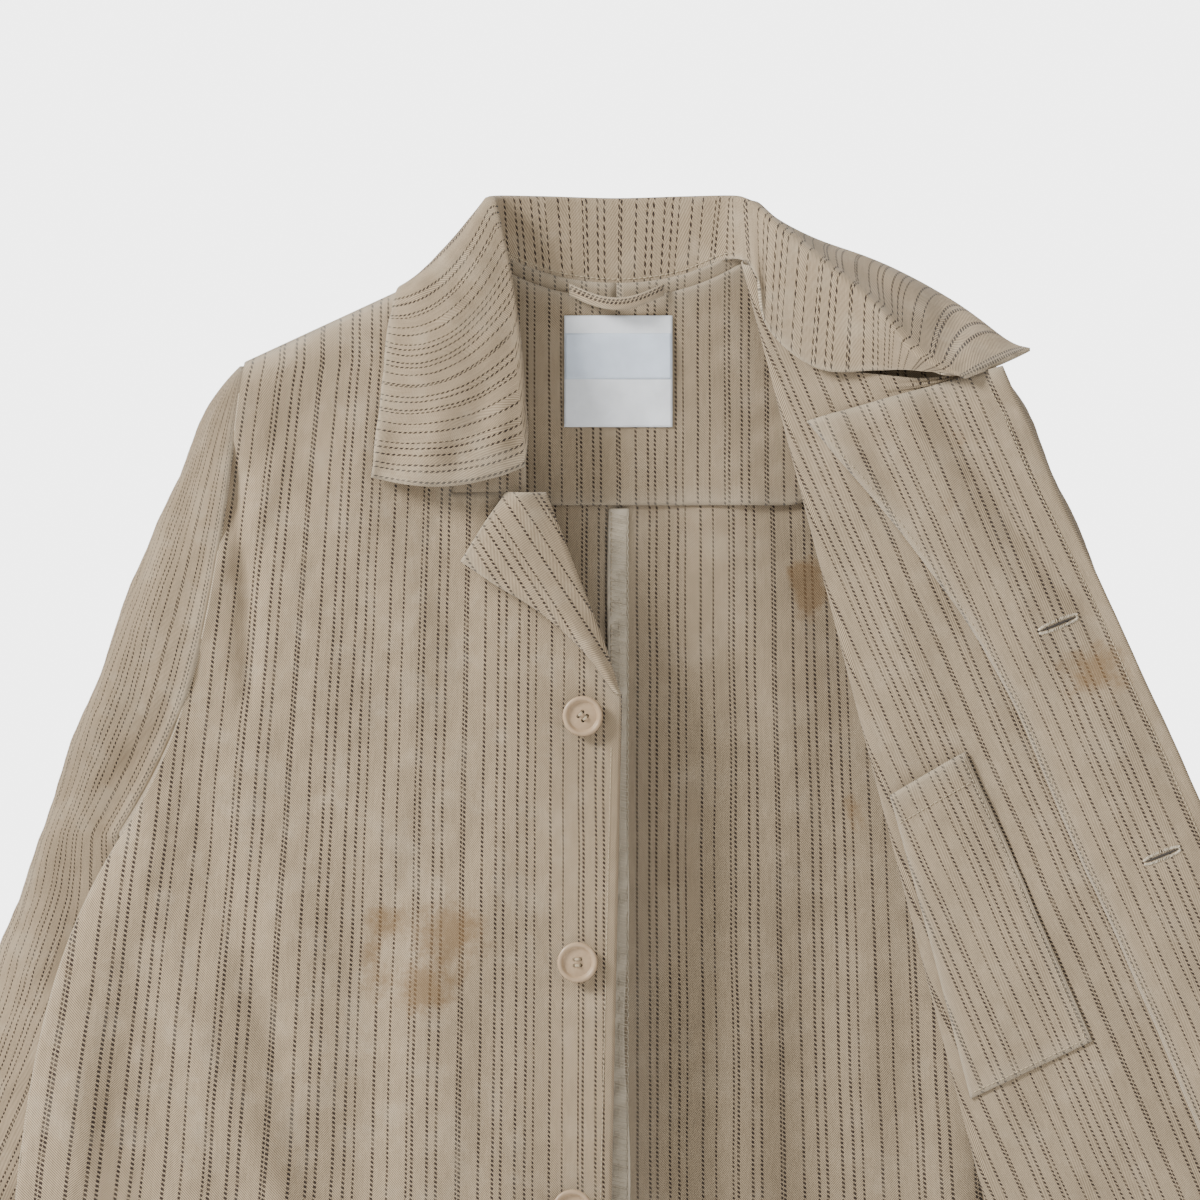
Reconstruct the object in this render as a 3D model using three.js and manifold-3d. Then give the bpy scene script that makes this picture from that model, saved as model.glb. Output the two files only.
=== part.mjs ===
// A striped work jacket, hung by its shoulders with its left front turned back.
// Millimetres, +Z up, the jacket's front faces -Y, and its own right side is at -X.
// The origin is the middle of the neck, level with the back neck seam, where a hanger's hook passes.
import * as THREE from 'three';
import { mergeVertices } from 'three/addons/utils/BufferGeometryUtils.js';
import Module from 'manifold-3d';

const wasm = await Module();
wasm.setup();

// ---- driving dimensions -------------------------------------------------------------------------

const BACK_LENGTH = 790; // back neck seam to hem
const NECK_HALF = 74; // middle to the point where the shoulder seam meets the neck
const NECK_RISE = 20; // that point above the back neck seam
const SHOULDER_HALF = 223; // middle to the shoulder point
const SHOULDER_FALL = 49; // shoulder point below the back neck seam
const ARMPIT_FALL = 331; // armpit below the back neck seam
const CHEST_HALF = 295; // middle to the armpit
const HEM_HALF = 373; // middle to the side seam at the hem
const FLARE = 62; // how far the side swings out soon below the armpit
const FLARE_RUN = 100; // length over which it does so
const FRONT_DEPTH = 12; // front panel ahead of the shoulder seam, just below it
const FRONT_SWELL = 34; // what it gains down to the hem
const BACK_DEPTH = 10; // back panel behind the shoulder seam, just below it
const BACK_SWELL = 14; // what it gains down to the hem
const SIDE_FORWARD = 22; // side seams ahead of the shoulders, where the sleeves hang behind them
const RIDGE = 20; // radius of the cloth over the hanger's shoulder
const CENTRE_SEAM_X = 8; // the back seam hangs a little off centre

const CLOTH = 1.6; // twill with its seam allowances
const LINING = 1.2; // facings and the label
const SEAM_GAP = 1.0; // clearance between the edges of two panels
const LAYER_GAP = 1.0; // clearance between two layers

const COLLAR_STAND = 49; // height of the stand at the back
const COLLAR_LEAF = 77; // leaf, from roll to edge, at the back
const COLLAR_CLOTH = 2.0; // two layers, stitched together
const LAPEL_CLOTH = 2.0;

const YOKE_HALF = 128; // back facing
const YOKE_DEPTH = 134;
const YOKE_CORNER = 26;
const YOKE_TOP = 9; // its upper edge is sewn in below the neck and shoulder seams
const TAPE_WIDTH = 12; // binding on the back seam
const LABEL_WIDTH = 65;
const LABEL_HEIGHT = 67;
const LABEL_TOP = 20; // below the back neck seam
const LOOP_SPAN = 56; // hang loop
const LOOP_DROP = 9;
const LOOP_BOW = 8;
const LOOP_WIDTH = 7;
const LOOP_CLOTH = 1.8;

const SLEEVE_LENGTH = 600; // shoulder point to cuff
const SLEEVE_LEAN = 0.365; // sideways per unit of fall
const SLEEVE_HEAD = 18; // rounding out of the sleeve head
const SLEEVE_HEAD_RUN = 25;
const BICEP_HALF = 78; // the hanging tube's half width and half depth
const BICEP_DEPTH = 28;
const CUFF_HALF = 60;
const CUFF_DEPTH = 22;
const SLEEVE_BACK = 40; // middle of the sleeve behind the shoulders

const FOLD_HEM_X = 283; // where the left front's fold line meets the hem
const FOLD_OFFSET = 3; // fold axis ahead of the cloth
const TURN_REST = 20; // degrees that the turned back front stands ahead of the jacket
const FACING_WIDTH = 78;

const SWING_TOP = [-100, -130]; // upper end of the right front's fold line, x and z
const SWING_HEM_X = -290;
const LEAF_END = -125; // bottom of the right collar leaf
const BREAK_FALL = 247; // where the lapel starts to roll

const BUTTON_RADIUS = 12;
const BUTTON_THICK = 3.6;
const BUTTON_COUNT = 4;
const BUTTON_PITCH = 146;
const BUTTON_FIRST = 260; // first button below the back neck seam
const BUTTON_INSET = 21; // button centre to the front edge
const BUTTON_SHANK = 2.4; // length of thread under a button
const THREAD_RADIUS = 1.5;
const HOLE_RADIUS = 1.1;
const HOLE_SPREAD = 2.6;
const SLIT_LENGTH = 24;
const SLIT_RIM = 2.2;
const SLIT_INSET = 31; // buttonhole's middle to the front edge
const SLIT_FIRST = 266; // first buttonhole down the fold line

const POCKET_GAPE = 7; // a pocket's cloth away from the panel at its middle
const HIP_POCKET = { width: 165, height: 165, top: 572, inset: 50 };
const INNER_POCKET = { mouth: 45, height: 186, top: 332, start: 6, widen: 31 };

// ---- small tools --------------------------------------------------------------------------------

const clamp = (t) => Math.min(1, Math.max(0, t));
const lerp = (a, b, t) => a + (b - a) * t;
const smooth = (t) => clamp(t) ** 2 * (3 - 2 * clamp(t));
const vec = (x, y, z) => new THREE.Vector3(x, y, z);
const RAD = Math.PI / 180;

/** A smooth curve through a few points; at(t) with t from 0 to 1. */
function through(points) {
  const curve = new THREE.CatmullRomCurve3(points.map((p) => vec(...p)), false, 'centripetal');
  return (t) => curve.getPoint(clamp(t));
}

/** Unit normal of a surface point(u, v). */
function normalAt(point, u, v) {
  const step = 1e-3;
  const du = point(Math.min(1, u + step), v).sub(point(Math.max(0, u - step), v));
  const dv = point(u, Math.min(1, v + step)).sub(point(u, Math.max(0, v - step)));
  return du.cross(dv).normalize();
}

/** A closed thin solid whose middle follows point(u, v); lift moves it along the normal. */
function sheet(point, across, along, thick, lift = 0) {
  const positions = [];
  for (const side of [0.5, -0.5]) {
    for (let j = 0; j <= along; j++) {
      for (let i = 0; i <= across; i++) {
        const u = i / across;
        const v = j / along;
        const p = point(u, v).addScaledVector(normalAt(point, u, v), side * thick + lift);
        positions.push(p.x, p.y, p.z);
      }
    }
  }
  const layer = (across + 1) * (along + 1);
  const at = (i, j, low) => low * layer + j * (across + 1) + i;
  const index = [];
  const quad = (a, b, c, d) => index.push(a, b, c, a, c, d);
  for (let j = 0; j < along; j++) {
    for (let i = 0; i < across; i++) {
      quad(at(i, j, 0), at(i + 1, j, 0), at(i + 1, j + 1, 0), at(i, j + 1, 0));
      quad(at(i, j, 1), at(i, j + 1, 1), at(i + 1, j + 1, 1), at(i + 1, j, 1));
    }
  }
  for (let i = 0; i < across; i++) {
    quad(at(i, 0, 0), at(i, 0, 1), at(i + 1, 0, 1), at(i + 1, 0, 0));
    quad(at(i, along, 0), at(i + 1, along, 0), at(i + 1, along, 1), at(i, along, 1));
  }
  for (let j = 0; j < along; j++) {
    quad(at(0, j, 0), at(0, j + 1, 0), at(0, j + 1, 1), at(0, j, 1));
    quad(at(across, j, 0), at(across, j, 1), at(across, j + 1, 1), at(across, j + 1, 0));
  }
  const geometry = new THREE.BufferGeometry();
  geometry.setAttribute('position', new THREE.Float32BufferAttribute(positions, 3));
  geometry.setIndex(index);
  return geometry;
}

/** A closed geometry as a manifold solid. */
function solidOf(geometry) {
  const bare = geometry.clone();
  for (const name of Object.keys(bare.attributes)) if (name !== 'position') bare.deleteAttribute(name);
  const merged = mergeVertices(bare, 1e-4);
  const vertProperties = new Float32Array(merged.attributes.position.array);
  const triVerts = new Uint32Array(merged.index.array);
  return new wasm.Manifold(new wasm.Mesh({ numProp: 3, vertProperties, triVerts }));
}

/** A geometry with others cut out of it. */
function cut(geometry, tools) {
  let solid = solidOf(geometry);
  for (const tool of tools) solid = solid.subtract(solidOf(tool));
  const mesh = solid.getMesh();
  const result = new THREE.BufferGeometry();
  result.setAttribute('position', new THREE.Float32BufferAttribute(Array.from(mesh.vertProperties), 3));
  result.setIndex(Array.from(mesh.triVerts));
  return result;
}

const jacket = new THREE.Group();

/** Adds a named mesh with a finish of its own. */
function piece(name, geometry, color, roughness = 0.92) {
  geometry.computeVertexNormals();
  const material = new THREE.MeshStandardMaterial({ color, roughness, metalness: 0 });
  const mesh = new THREE.Mesh(geometry, material);
  mesh.name = name;
  jacket.add(mesh);
  return mesh;
}

const TWILL = 0xc2ad8c;
const TWILL_INSIDE = 0xc6b391;
const TAPE = 0xc9bfac;
const WHITE = 0xe9ebec;
const HORN = 0xb89b74;
const THREAD = 0xe6dcc6;

// ---- the body's shape ---------------------------------------------------------------------------

/** Half width of the body at height z: the armhole above the armpit, the side seam below. */
function halfWidth(z) {
  if (z > -ARMPIT_FALL) {
    const t = clamp((-SHOULDER_FALL - z) / (ARMPIT_FALL - SHOULDER_FALL));
    return SHOULDER_HALF + (CHEST_HALF - SHOULDER_HALF) * (0.47 * t + 0.53 * t ** 4);
  }
  const fall = -ARMPIT_FALL - z;
  const rest = (HEM_HALF - CHEST_HALF - FLARE) * (fall / (BACK_LENGTH - ARMPIT_FALL));
  return CHEST_HALF + FLARE * (1 - Math.exp(-fall / FLARE_RUN)) + rest;
}

/** Height of the shoulder seam, and of the back neck seam between the neck points. */
function topLine(x) {
  const r = Math.abs(x);
  if (r < NECK_HALF) return NECK_RISE * (r / NECK_HALF) ** 2.2;
  const t = (Math.min(r, SHOULDER_HALF) - NECK_HALF) / (SHOULDER_HALF - NECK_HALF);
  return lerp(NECK_RISE, -SHOULDER_FALL, t);
}

/** Height of the ridge that the cloth hangs from, level across the neck. */
const ridgeLine = (x) => (Math.abs(x) < NECK_HALF ? NECK_RISE : topLine(x));

/** 0 at the side seam, where front and back meet, and 1 where they hang free of each other. */
function fullness(x, z) {
  const t = clamp((z + ARMPIT_FALL) / (ARMPIT_FALL - SHOULDER_FALL));
  const closed = (1 - t) ** 3;
  const r = Math.min(1, Math.abs(x) / halfWidth(z));
  return Math.sqrt(Math.max(0, 1 - closed * r ** 5));
}

const sideY = (z) => lerp(-4, -SIDE_FORWARD, smooth((-ARMPIT_FALL - z) / 100));
const fallShare = (z) => clamp((NECK_RISE - z) / (BACK_LENGTH + NECK_RISE));

/** Share of the full depth that the cloth has this far below the ridge. */
function roll(x, z) {
  const t = clamp((ridgeLine(x) - z) / RIDGE);
  return Math.sqrt(1 - (1 - t) ** 2);
}

function frontY(x, z) {
  const depth = FRONT_DEPTH + FRONT_SWELL * fallShare(z);
  return lerp(sideY(z), -depth, fullness(x, z)) * roll(x, z);
}

function backY(x, z) {
  const depth = BACK_DEPTH + BACK_SWELL * fallShare(z);
  return lerp(sideY(z), depth, fullness(x, z)) * roll(x, z);
}

const front = (x, z) => vec(x, frontY(x, z), z);
const back = (x, z) => vec(x, backY(x, z), z);

/** Runs from start to almost 1, closing up towards the end, so that a side seam stays round. */
const easeOut = (start, u) => 1 - 1e-4 - (1 - 1e-4 - start) * (1 - u) ** 2;

// ---- back ---------------------------------------------------------------------------------------

const SHOULDER_START = 0.12; // how far below the ridge line a panel starts

/** A back panel from the centre seam to one side. */
function backPanel(side) {
  const seam = CENTRE_SEAM_X + side * (SEAM_GAP / 2);
  return (u, v) => {
    const r = easeOut(0, u);
    const top = lerp(seam, side * SHOULDER_HALF, r);
    const start = topLine(top) - SHOULDER_START;
    const z = lerp(start, -BACK_LENGTH, v * v);
    return back(lerp(seam, side * halfWidth(z), r), z);
  };
}

piece('back_panel_left', sheet((u, v) => backPanel(1)(1 - u, v), 9, 14, CLOTH), TWILL_INSIDE);
piece('back_panel_right', sheet(backPanel(-1), 9, 14, CLOTH), TWILL_INSIDE);

/** Lift that puts one layer inside another. */
const layerLift = (lower, upper) => lower / 2 + LAYER_GAP + upper / 2;

/** The back facing, from the neck and shoulder seams to its stitched lower edge with round corners. */
function yoke(u, v) {
  const x = lerp(-YOKE_HALF, YOKE_HALF, u);
  const corner = clamp((Math.abs(x) - (YOKE_HALF - YOKE_CORNER)) / YOKE_CORNER);
  const bottom = -YOKE_DEPTH + YOKE_CORNER * (1 - Math.sqrt(1 - corner ** 2));
  const z = lerp(topLine(x) - YOKE_TOP, bottom, v);
  return back(x, z);
}

piece('back_facing', sheet(yoke, 12, 7, LINING, -layerLift(CLOTH, LINING) - 0.6), TWILL_INSIDE);

const TAPE_EDGE = CENTRE_SEAM_X - 1.5;
const tape = (u, v) => {
  const z = lerp(-YOKE_DEPTH - 2, -BACK_LENGTH + 2, v);
  return back(lerp(TAPE_EDGE - TAPE_WIDTH, TAPE_EDGE, u), z);
};
piece('centre_back_tape', sheet(tape, 1, 14, LINING, -layerLift(CLOTH, LINING)), TAPE);

const labelAt = (u, v) => {
  const z = lerp(-LABEL_TOP, -LABEL_TOP - LABEL_HEIGHT, v);
  return back(lerp(-LABEL_WIDTH / 2, LABEL_WIDTH / 2, u) + 1, z);
};
const LABEL_LIFT = layerLift(CLOTH, LINING) + 0.6 + LINING / 2 + LAYER_GAP + 0.4;
piece('label', sheet(labelAt, 4, 3, 0.8, -LABEL_LIFT), WHITE, 0.8);

/** The hang loop: a narrow strip bowed out from the neck seam, hanging below it. */
function hangLoop(u, v) {
  const arch = Math.sin(Math.PI * u);
  const x = lerp(-LOOP_SPAN / 2, LOOP_SPAN / 2, u);
  const rim = -1 - LOOP_DROP * arch;
  const y = backY(0, 0) - LABEL_LIFT - 0.5 - LOOP_BOW * arch ** 0.7;
  return vec(x, y, rim - v * LOOP_WIDTH);
}
piece('hang_loop', sheet(hangLoop, 14, 1, LOOP_CLOTH), TWILL);

// ---- collar -------------------------------------------------------------------------------------

// Neck seam, roll line and leaf edge of the part behind and beside the neck, for one side,
// from the centre back to the shoulder. The stand's foot stays clear of the panels' top edges.
const standFoot = through([
  [0, BACK_DEPTH + 4.5, 1.5],
  [NECK_HALF * 0.5, BACK_DEPTH + 3, 6.5],
  [NECK_HALF * 0.86, 7.5, 17.5],
  [NECK_HALF + 0.5, 0.5, NECK_RISE + 4],
]);
const standRoll = through([
  [0, BACK_DEPTH + 7, COLLAR_STAND],
  [NECK_HALF * 0.55, BACK_DEPTH + 4, COLLAR_STAND + 1],
  [NECK_HALF * 0.9, 8.5, COLLAR_STAND + 1],
  [NECK_HALF - 1, 0.5, COLLAR_STAND],
]);
const leafRoll = through([
  [0, BACK_DEPTH + 11, COLLAR_STAND + 1],
  [NECK_HALF * 0.6, BACK_DEPTH + 9, COLLAR_STAND + 2],
  [NECK_HALF, 11, COLLAR_STAND + 2],
  [NECK_HALF + 3.5, 1, COLLAR_STAND],
]);
const leafEdge = through([
  [0, BACK_DEPTH + 17, COLLAR_STAND - COLLAR_LEAF],
  [NECK_HALF, BACK_DEPTH + 16, COLLAR_STAND - COLLAR_LEAF + 3],
  [NECK_HALF + 40, BACK_DEPTH + 11, -12],
  [NECK_HALF + 55, 2, 1],
]);
const mirrored = (p, side) => vec(side * p.x, p.y, p.z);

/** A strip between two edges that share t, as one leaf of the collar, bulged by crown. */
function between(low, high, side, crown = 0) {
  return (u, v) => {
    const p = low(u).lerp(high(u), v);
    p.y += crown * Math.sin(Math.PI * v) * Math.sign(p.y + 1e-3);
    p.z += Math.abs(crown) * 0.5 * Math.sin(Math.PI * v);
    return mirrored(p, side);
  };
}
const flip = (point) => (u, v) => point(1 - u, v);
const ofSide = (point, side) => (side > 0 ? point : flip(point));

const END = 0.965; // the back strips stop short of the parts beside the neck
for (const [side, word] of [[1, 'left'], [-1, 'right']]) {
  const short = (edge) => (u) => edge(lerp(0.006, END, u));
  const stand = between(short(standFoot), short(standRoll), side);
  piece(`collar_stand_back_${word}`, sheet(ofSide(stand, side), 6, 2, COLLAR_CLOTH), TWILL);
  const leaf = between(short(leafRoll), short(leafEdge), side, 3);
  piece(`collar_leaf_back_${word}`, sheet(ofSide(leaf, side), 7, 3, COLLAR_CLOTH), TWILL);
}


// ---- wearer's right front -----------------------------------------------------------------------

/** Front edge below the lapel's break; it leans in a little towards the hem. */
const frontEdge = (z) => 1 - 0.021 * (-BREAK_FALL - z);
/** Where the roll of the lapel leaves the panel. */
const lapelRoll = (z) => lerp(-49, 1, clamp((-118 - z) / (BREAK_FALL - 118)));
/** Neck seam of a front, from the neck point down to the end of the collar. */
const neckEdge = (z) => lerp(-NECK_HALF - 1, -54, clamp((NECK_RISE - z) / 132) ** 1.4);
/** The right front's fold line. */
const swingX = (z) => lerp(SWING_TOP[0], SWING_HEM_X, (SWING_TOP[1] - z) / (BACK_LENGTH + SWING_TOP[1]));
const SWING_CUT = LEAF_END - 2; // the swinging part starts just below the collar leaf

// Upper part and side, which stay put. The first rows end at the cut under the collar.
const STAY_ROWS = 5;
const ROWS = 14;
/** Heights of the rows where a body panel meets the armhole and the side seam. */
const sideRow = (k) => lerp(topLine(SHOULDER_HALF) - SHOULDER_START, -BACK_LENGTH, (k / ROWS) ** 2);
function rightSide(u, v) {
  const k = v * ROWS;
  const r = easeOut(0, u);
  const upper = lerp(NECK_RISE - SHOULDER_START, SWING_CUT + 3, clamp(k / (STAY_ROWS - 1)) ** 1.6);
  const lower = lerp(SWING_CUT - 2, -BACK_LENGTH, clamp((k - STAY_ROWS) / (ROWS - STAY_ROWS)) ** 1.2);
  const above = clamp(k - STAY_ROWS + 1);
  const zIn = lerp(upper, lower, above);
  const z = lerp(zIn, sideRow(k), r);
  const xIn = lerp(neckEdge(zIn), swingX(zIn) - SEAM_GAP, above);
  return front(lerp(xIn, -halfWidth(z), r), z);
}
piece('right_front_side', sheet(flip(rightSide), 8, ROWS, CLOTH), TWILL);

/** The part that swings open, from its fold line to the lapel's roll and the front edge. */
function rightFront(u, v) {
  const z = lerp(SWING_CUT - 4, -BACK_LENGTH, v ** 1.3);
  const edge = z > -BREAK_FALL ? lapelRoll(z) : frontEdge(z);
  return front(lerp(swingX(z) + SEAM_GAP, edge, u), z);
}
piece('right_front_panel', sheet(rightFront, 5, 13, CLOTH), TWILL);

function rightFacing(u, v) {
  const z = lerp(-BREAK_FALL - 4, -BACK_LENGTH + 3, v);
  return front(lerp(frontEdge(z) - FACING_WIDTH, frontEdge(z) - 1, u), z);
}
piece('right_facing', sheet(rightFacing, 3, 12, LINING, layerLift(CLOTH, LINING)), TWILL_INSIDE);

// The lapel lies folded back on the panel: roll, notch, tip and the long outer edge.
const lapelEdge = through([
  [-69, 0, SWING_CUT - 1],
  [-92, 0, -167],
  [-56, 0, -193],
  [-22, 0, -224],
  [-3, 0, -BREAK_FALL + 4],
]);
function lapel(u, v) {
  const edge = lapelEdge(v);
  const z = lerp(SWING_CUT - 1, -BREAK_FALL + 2, v);
  const p = vec(lapelRoll(z) - 1.5, 0, z).lerp(edge, u);
  p.y = frontY(p.x, p.z) - CLOTH / 2 - LAYER_GAP - LAPEL_CLOTH / 2 - 0.8 - 4 * Math.sin(u * 1.6);
  return p;
}
piece('right_lapel', sheet(flip(lapel), 4, 7, LAPEL_CLOTH), TWILL_INSIDE);

// The right collar leaf, folded down over the shoulder and the chest.
const rightRoll = through([
  [-NECK_HALF - 4.5, -2.5, COLLAR_STAND - 1],
  [-68, -17, 13],
  [-62, -25, -29],
  [-58, -27.5, -71],
  [-55, -28.5, -110],
]);
const rightEdge = through([
  [-NECK_HALF - 55, -7.5, 1.5],
  [-133, -16.5, -15],
  [-137, -19, -36],
  [-141, -23, -75],
  [-146, -26, -117],
]);
function rightLeaf(u, v) {
  const p = rightRoll(v).lerp(rightEdge(v), u);
  p.z -= 8 * v ** 6 * Math.sin(Math.PI * u);
  p.y -= 5 * Math.sin(Math.PI * u) * (1 - 0.6 * v);
  return p;
}
piece('collar_leaf_right', sheet(flip(rightLeaf), 5, 8, COLLAR_CLOTH), TWILL);

// The stand beside the neck narrows from the shoulder to nothing where collar and lapel meet.
const rightFoot = through([
  [-NECK_HALF - 0.5, -4.5, NECK_RISE + 4],
  [-67, -18, -8],
  [-59, -22.5, -60],
  [-54.5, -24, -92],
]);
const rightTop = through([
  [-NECK_HALF + 1, -2.5, COLLAR_STAND],
  [-65, -17, 11],
  [-58, -24.5, -35],
  [-54, -26.5, -86],
]);
const rightStand = (u, v) => rightFoot(v).lerp(rightTop(v), u);
piece('collar_stand_right', sheet(rightStand, 2, 6, 1.4), TWILL);

// ---- buttons ------------------------------------------------------------------------------------

/** A point on the line of buttons. */
function buttonSeat(i) {
  const z = -BUTTON_FIRST - i * BUTTON_PITCH;
  return front(frontEdge(z) - BUTTON_INSET, z);
}

function buttonShape() {
  const rim = BUTTON_RADIUS;
  const half = BUTTON_THICK / 2;
  const profile = [
    [0, -half], [rim - 2.5, -half], [rim - 0.6, -half + 0.8], [rim, 0.1],
    [rim - 0.7, half - 0.4], [rim - 1.7, half], [rim - 2.9, half - 0.8], [0, half - 1.0],
  ].map(([r, h]) => new THREE.Vector2(r, h));
  const holes = [];
  for (let k = 0; k < 4; k++) {
    const angle = (k + 0.5) * 90 * RAD;
    const hole = new THREE.CylinderGeometry(HOLE_RADIUS, HOLE_RADIUS, BUTTON_THICK * 2, 8);
    holes.push(hole.translate(HOLE_SPREAD * Math.cos(angle), 0, HOLE_SPREAD * Math.sin(angle)));
  }
  return cut(new THREE.LatheGeometry(profile, 24), holes);
}

const button = buttonShape();
for (let i = 0; i < BUTTON_COUNT; i++) {
  const seat = buttonSeat(i);
  const face = seat.y - CLOTH / 2 - 0.6;
  // The button faces -Y, so its own +Y is turned to -Y.
  const disc = button.clone().rotateX(Math.PI);
  piece(`button_${i + 1}`, disc, HORN, 0.45)
    .position.set(seat.x, face - BUTTON_SHANK - BUTTON_THICK / 2, seat.z);
  const shank = new THREE.CylinderGeometry(THREAD_RADIUS, THREAD_RADIUS, BUTTON_SHANK - 0.6, 8);
  piece(`button_thread_${i + 1}`, shank, THREAD)
    .position.set(seat.x, face - BUTTON_SHANK / 2, seat.z);
}

// ---- wearer's left front, turned back about its fold line -----------------------------------------

const foldTop = vec(NECK_HALF, -FRONT_DEPTH - 0.5 - FOLD_OFFSET, NECK_RISE);
const foldHem = vec(FOLD_HEM_X, frontY(FOLD_HEM_X, -BACK_LENGTH) - FOLD_OFFSET, -BACK_LENGTH);
const foldDown = foldHem.clone().sub(foldTop).normalize();
const foldOut = vec(1, 0, 0).addScaledVector(foldDown, -foldDown.x).normalize();
const foldAhead = foldOut.clone().cross(foldDown).normalize();
if (foldAhead.y > 0) foldAhead.negate();
const turn = TURN_REST * RAD;
const awayDir = foldOut.clone().multiplyScalar(Math.cos(turn)).addScaledVector(foldAhead, Math.sin(turn));
const faceDir = foldAhead.clone().multiplyScalar(Math.cos(turn)).addScaledVector(foldOut, -Math.sin(turn));

/** A point of the turned front: away from the fold line, down it, and towards the viewer. */
const turned = (away, down, lift = 0) => foldTop.clone()
  .addScaledVector(awayDir, away)
  .addScaledVector(foldDown, down)
  .addScaledVector(faceDir, FOLD_OFFSET + lift);

const TIP = [136, 111]; // away and down: the lapel's upper corner, opened flat
const HEM_AWAY = 250;
const foldLength = foldHem.distanceTo(foldTop);
/** How far down the fold line the hem is, at this distance away from it. */
const hemDown = (away) => foldLength - away * (foldDown.x / -foldDown.z);
const edgeAway = (down) => lerp(TIP[0], HEM_AWAY, (down - TIP[1]) / (hemDown(HEM_AWAY) - TIP[1]));

const neckline = through([[3, 12, 0], [12, 52, 0], [31, 84, 0], [58, 94, 0], [92, 107, 0], [...TIP, 0]]);
function leftFront(u, v) {
  const top = neckline(u);
  const away = lerp(SEAM_GAP + 2, HEM_AWAY, u);
  return turned(lerp(top.x, away, v), lerp(top.y, hemDown(away), v));
}

/** A buttonhole's slit, as a cutter or as the worked rim around it. */
function slit(i, length, height, depth, hole) {
  const down = SLIT_FIRST + i * BUTTON_PITCH;
  const outline = new THREE.Shape().absellipse(0, 0, length / 2, height / 2, 0, 2 * Math.PI);
  if (hole) outline.holes.push(new THREE.Path().absellipse(0, 0, hole[0] / 2, hole[1] / 2, 0, 2 * Math.PI));
  const shape = new THREE.ExtrudeGeometry(outline, { depth, bevelEnabled: false, curveSegments: 8 });
  shape.translate(0, 0, -depth / 2);
  const place = new THREE.Matrix4().makeBasis(awayDir, foldDown.clone().negate(), faceDir);
  place.setPosition(turned(edgeAway(down) - SLIT_INSET, down, hole ? RIM_LIFT : 0));
  return shape.applyMatrix4(place);
}
const FACING_LIFT = layerLift(CLOTH, LINING);
const RIM_LIFT = FACING_LIFT + LINING / 2 + 0.7;
const slits = [0, 1, 2, 3].map((i) => slit(i, SLIT_LENGTH, 1.2, 12));

piece('left_front_panel', cut(sheet(leftFront, 8, 14, CLOTH), slits), TWILL);

/** The facing is widest at the neck and narrows to a strip along the front edge. */
function leftFacing(u, v) {
  const down = lerp(TIP[1] + 12, hemDown(HEM_AWAY) - 6, v ** 1.2);
  const widen = 45 * clamp(1 - (down - TIP[1]) / 190) ** 1.5;
  const edge = edgeAway(down) - 1;
  return turned(lerp(edge + 1 - FACING_WIDTH - widen, edge, u), down, FACING_LIFT);
}
piece('left_facing', cut(sheet(leftFacing, 4, 14, LINING), slits), TWILL_INSIDE);

for (let i = 0; i < BUTTON_COUNT; i++) {
  const rim = slit(i, SLIT_LENGTH + 2 * SLIT_RIM, 1.2 + 2 * SLIT_RIM, 0.8, [SLIT_LENGTH, 1.4]);
  piece(`buttonhole_${i + 1}`, rim, THREAD);
}

/** A patch pocket stands off the panel in the middle and meets it round three sides. */
function patch(corner, sign) {
  return (u, v) => {
    const [away, down] = corner(u, v);
    const round = Math.sqrt(Math.sin(Math.PI * clamp(u * 0.98 + 0.01)));
    const gape = POCKET_GAPE * round * Math.sqrt(Math.max(0, 1 - v ** 4));
    return turned(away, down, sign * (CLOTH + 0.5 + gape));
  };
}
function innerCorner(u, v) {
  const pocket = INNER_POCKET;
  const right = pocket.start + pocket.mouth + pocket.widen * v;
  return [lerp(pocket.start, right, u), pocket.top + 7 - 14 * u + pocket.height * v - 3 * u * v];
}
piece('inner_pocket', sheet(patch(innerCorner, 1), 8, 6, LINING), TWILL_INSIDE);

const pocketDown = HIP_POCKET.top + 24;
const hipCorner = (u, v) => {
  const down = pocketDown + HIP_POCKET.height * v - 22 * u;
  const outer = edgeAway(down) - HIP_POCKET.inset + 12;
  return [lerp(outer - HIP_POCKET.width, outer, u), down];
};
piece('left_hip_pocket', sheet(flip(patch(hipCorner, -1)), 8, 6, CLOTH), TWILL);

function rightHip(u, v) {
  const z = -HIP_POCKET.top - HIP_POCKET.height * v;
  const inner = frontEdge(z) - HIP_POCKET.inset;
  const p = front(lerp(inner - HIP_POCKET.width, inner, u), z);
  const round = Math.sqrt(Math.sin(Math.PI * clamp(u * 0.98 + 0.01)));
  p.y -= CLOTH + 0.8 + POCKET_GAPE * round * Math.sqrt(Math.max(0, 1 - v ** 4));
  return p;
}
piece('right_hip_pocket', sheet(rightHip, 8, 6, CLOTH), TWILL);

// The side of the left front stays with the body.
const foldX = (z) => lerp(foldTop.x, foldHem.x, (NECK_RISE - z) / (BACK_LENGTH + NECK_RISE));
function leftSide(u, v) {
  const r = easeOut(0, u);
  const start = topLine(lerp(NECK_HALF, SHOULDER_HALF, r)) - SHOULDER_START;
  const z = lerp(start, -BACK_LENGTH, v * v);
  return front(lerp(foldX(z) + SEAM_GAP, halfWidth(z), r), z);
}
piece('left_front_side', sheet(leftSide, 8, ROWS, CLOTH), TWILL);

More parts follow.
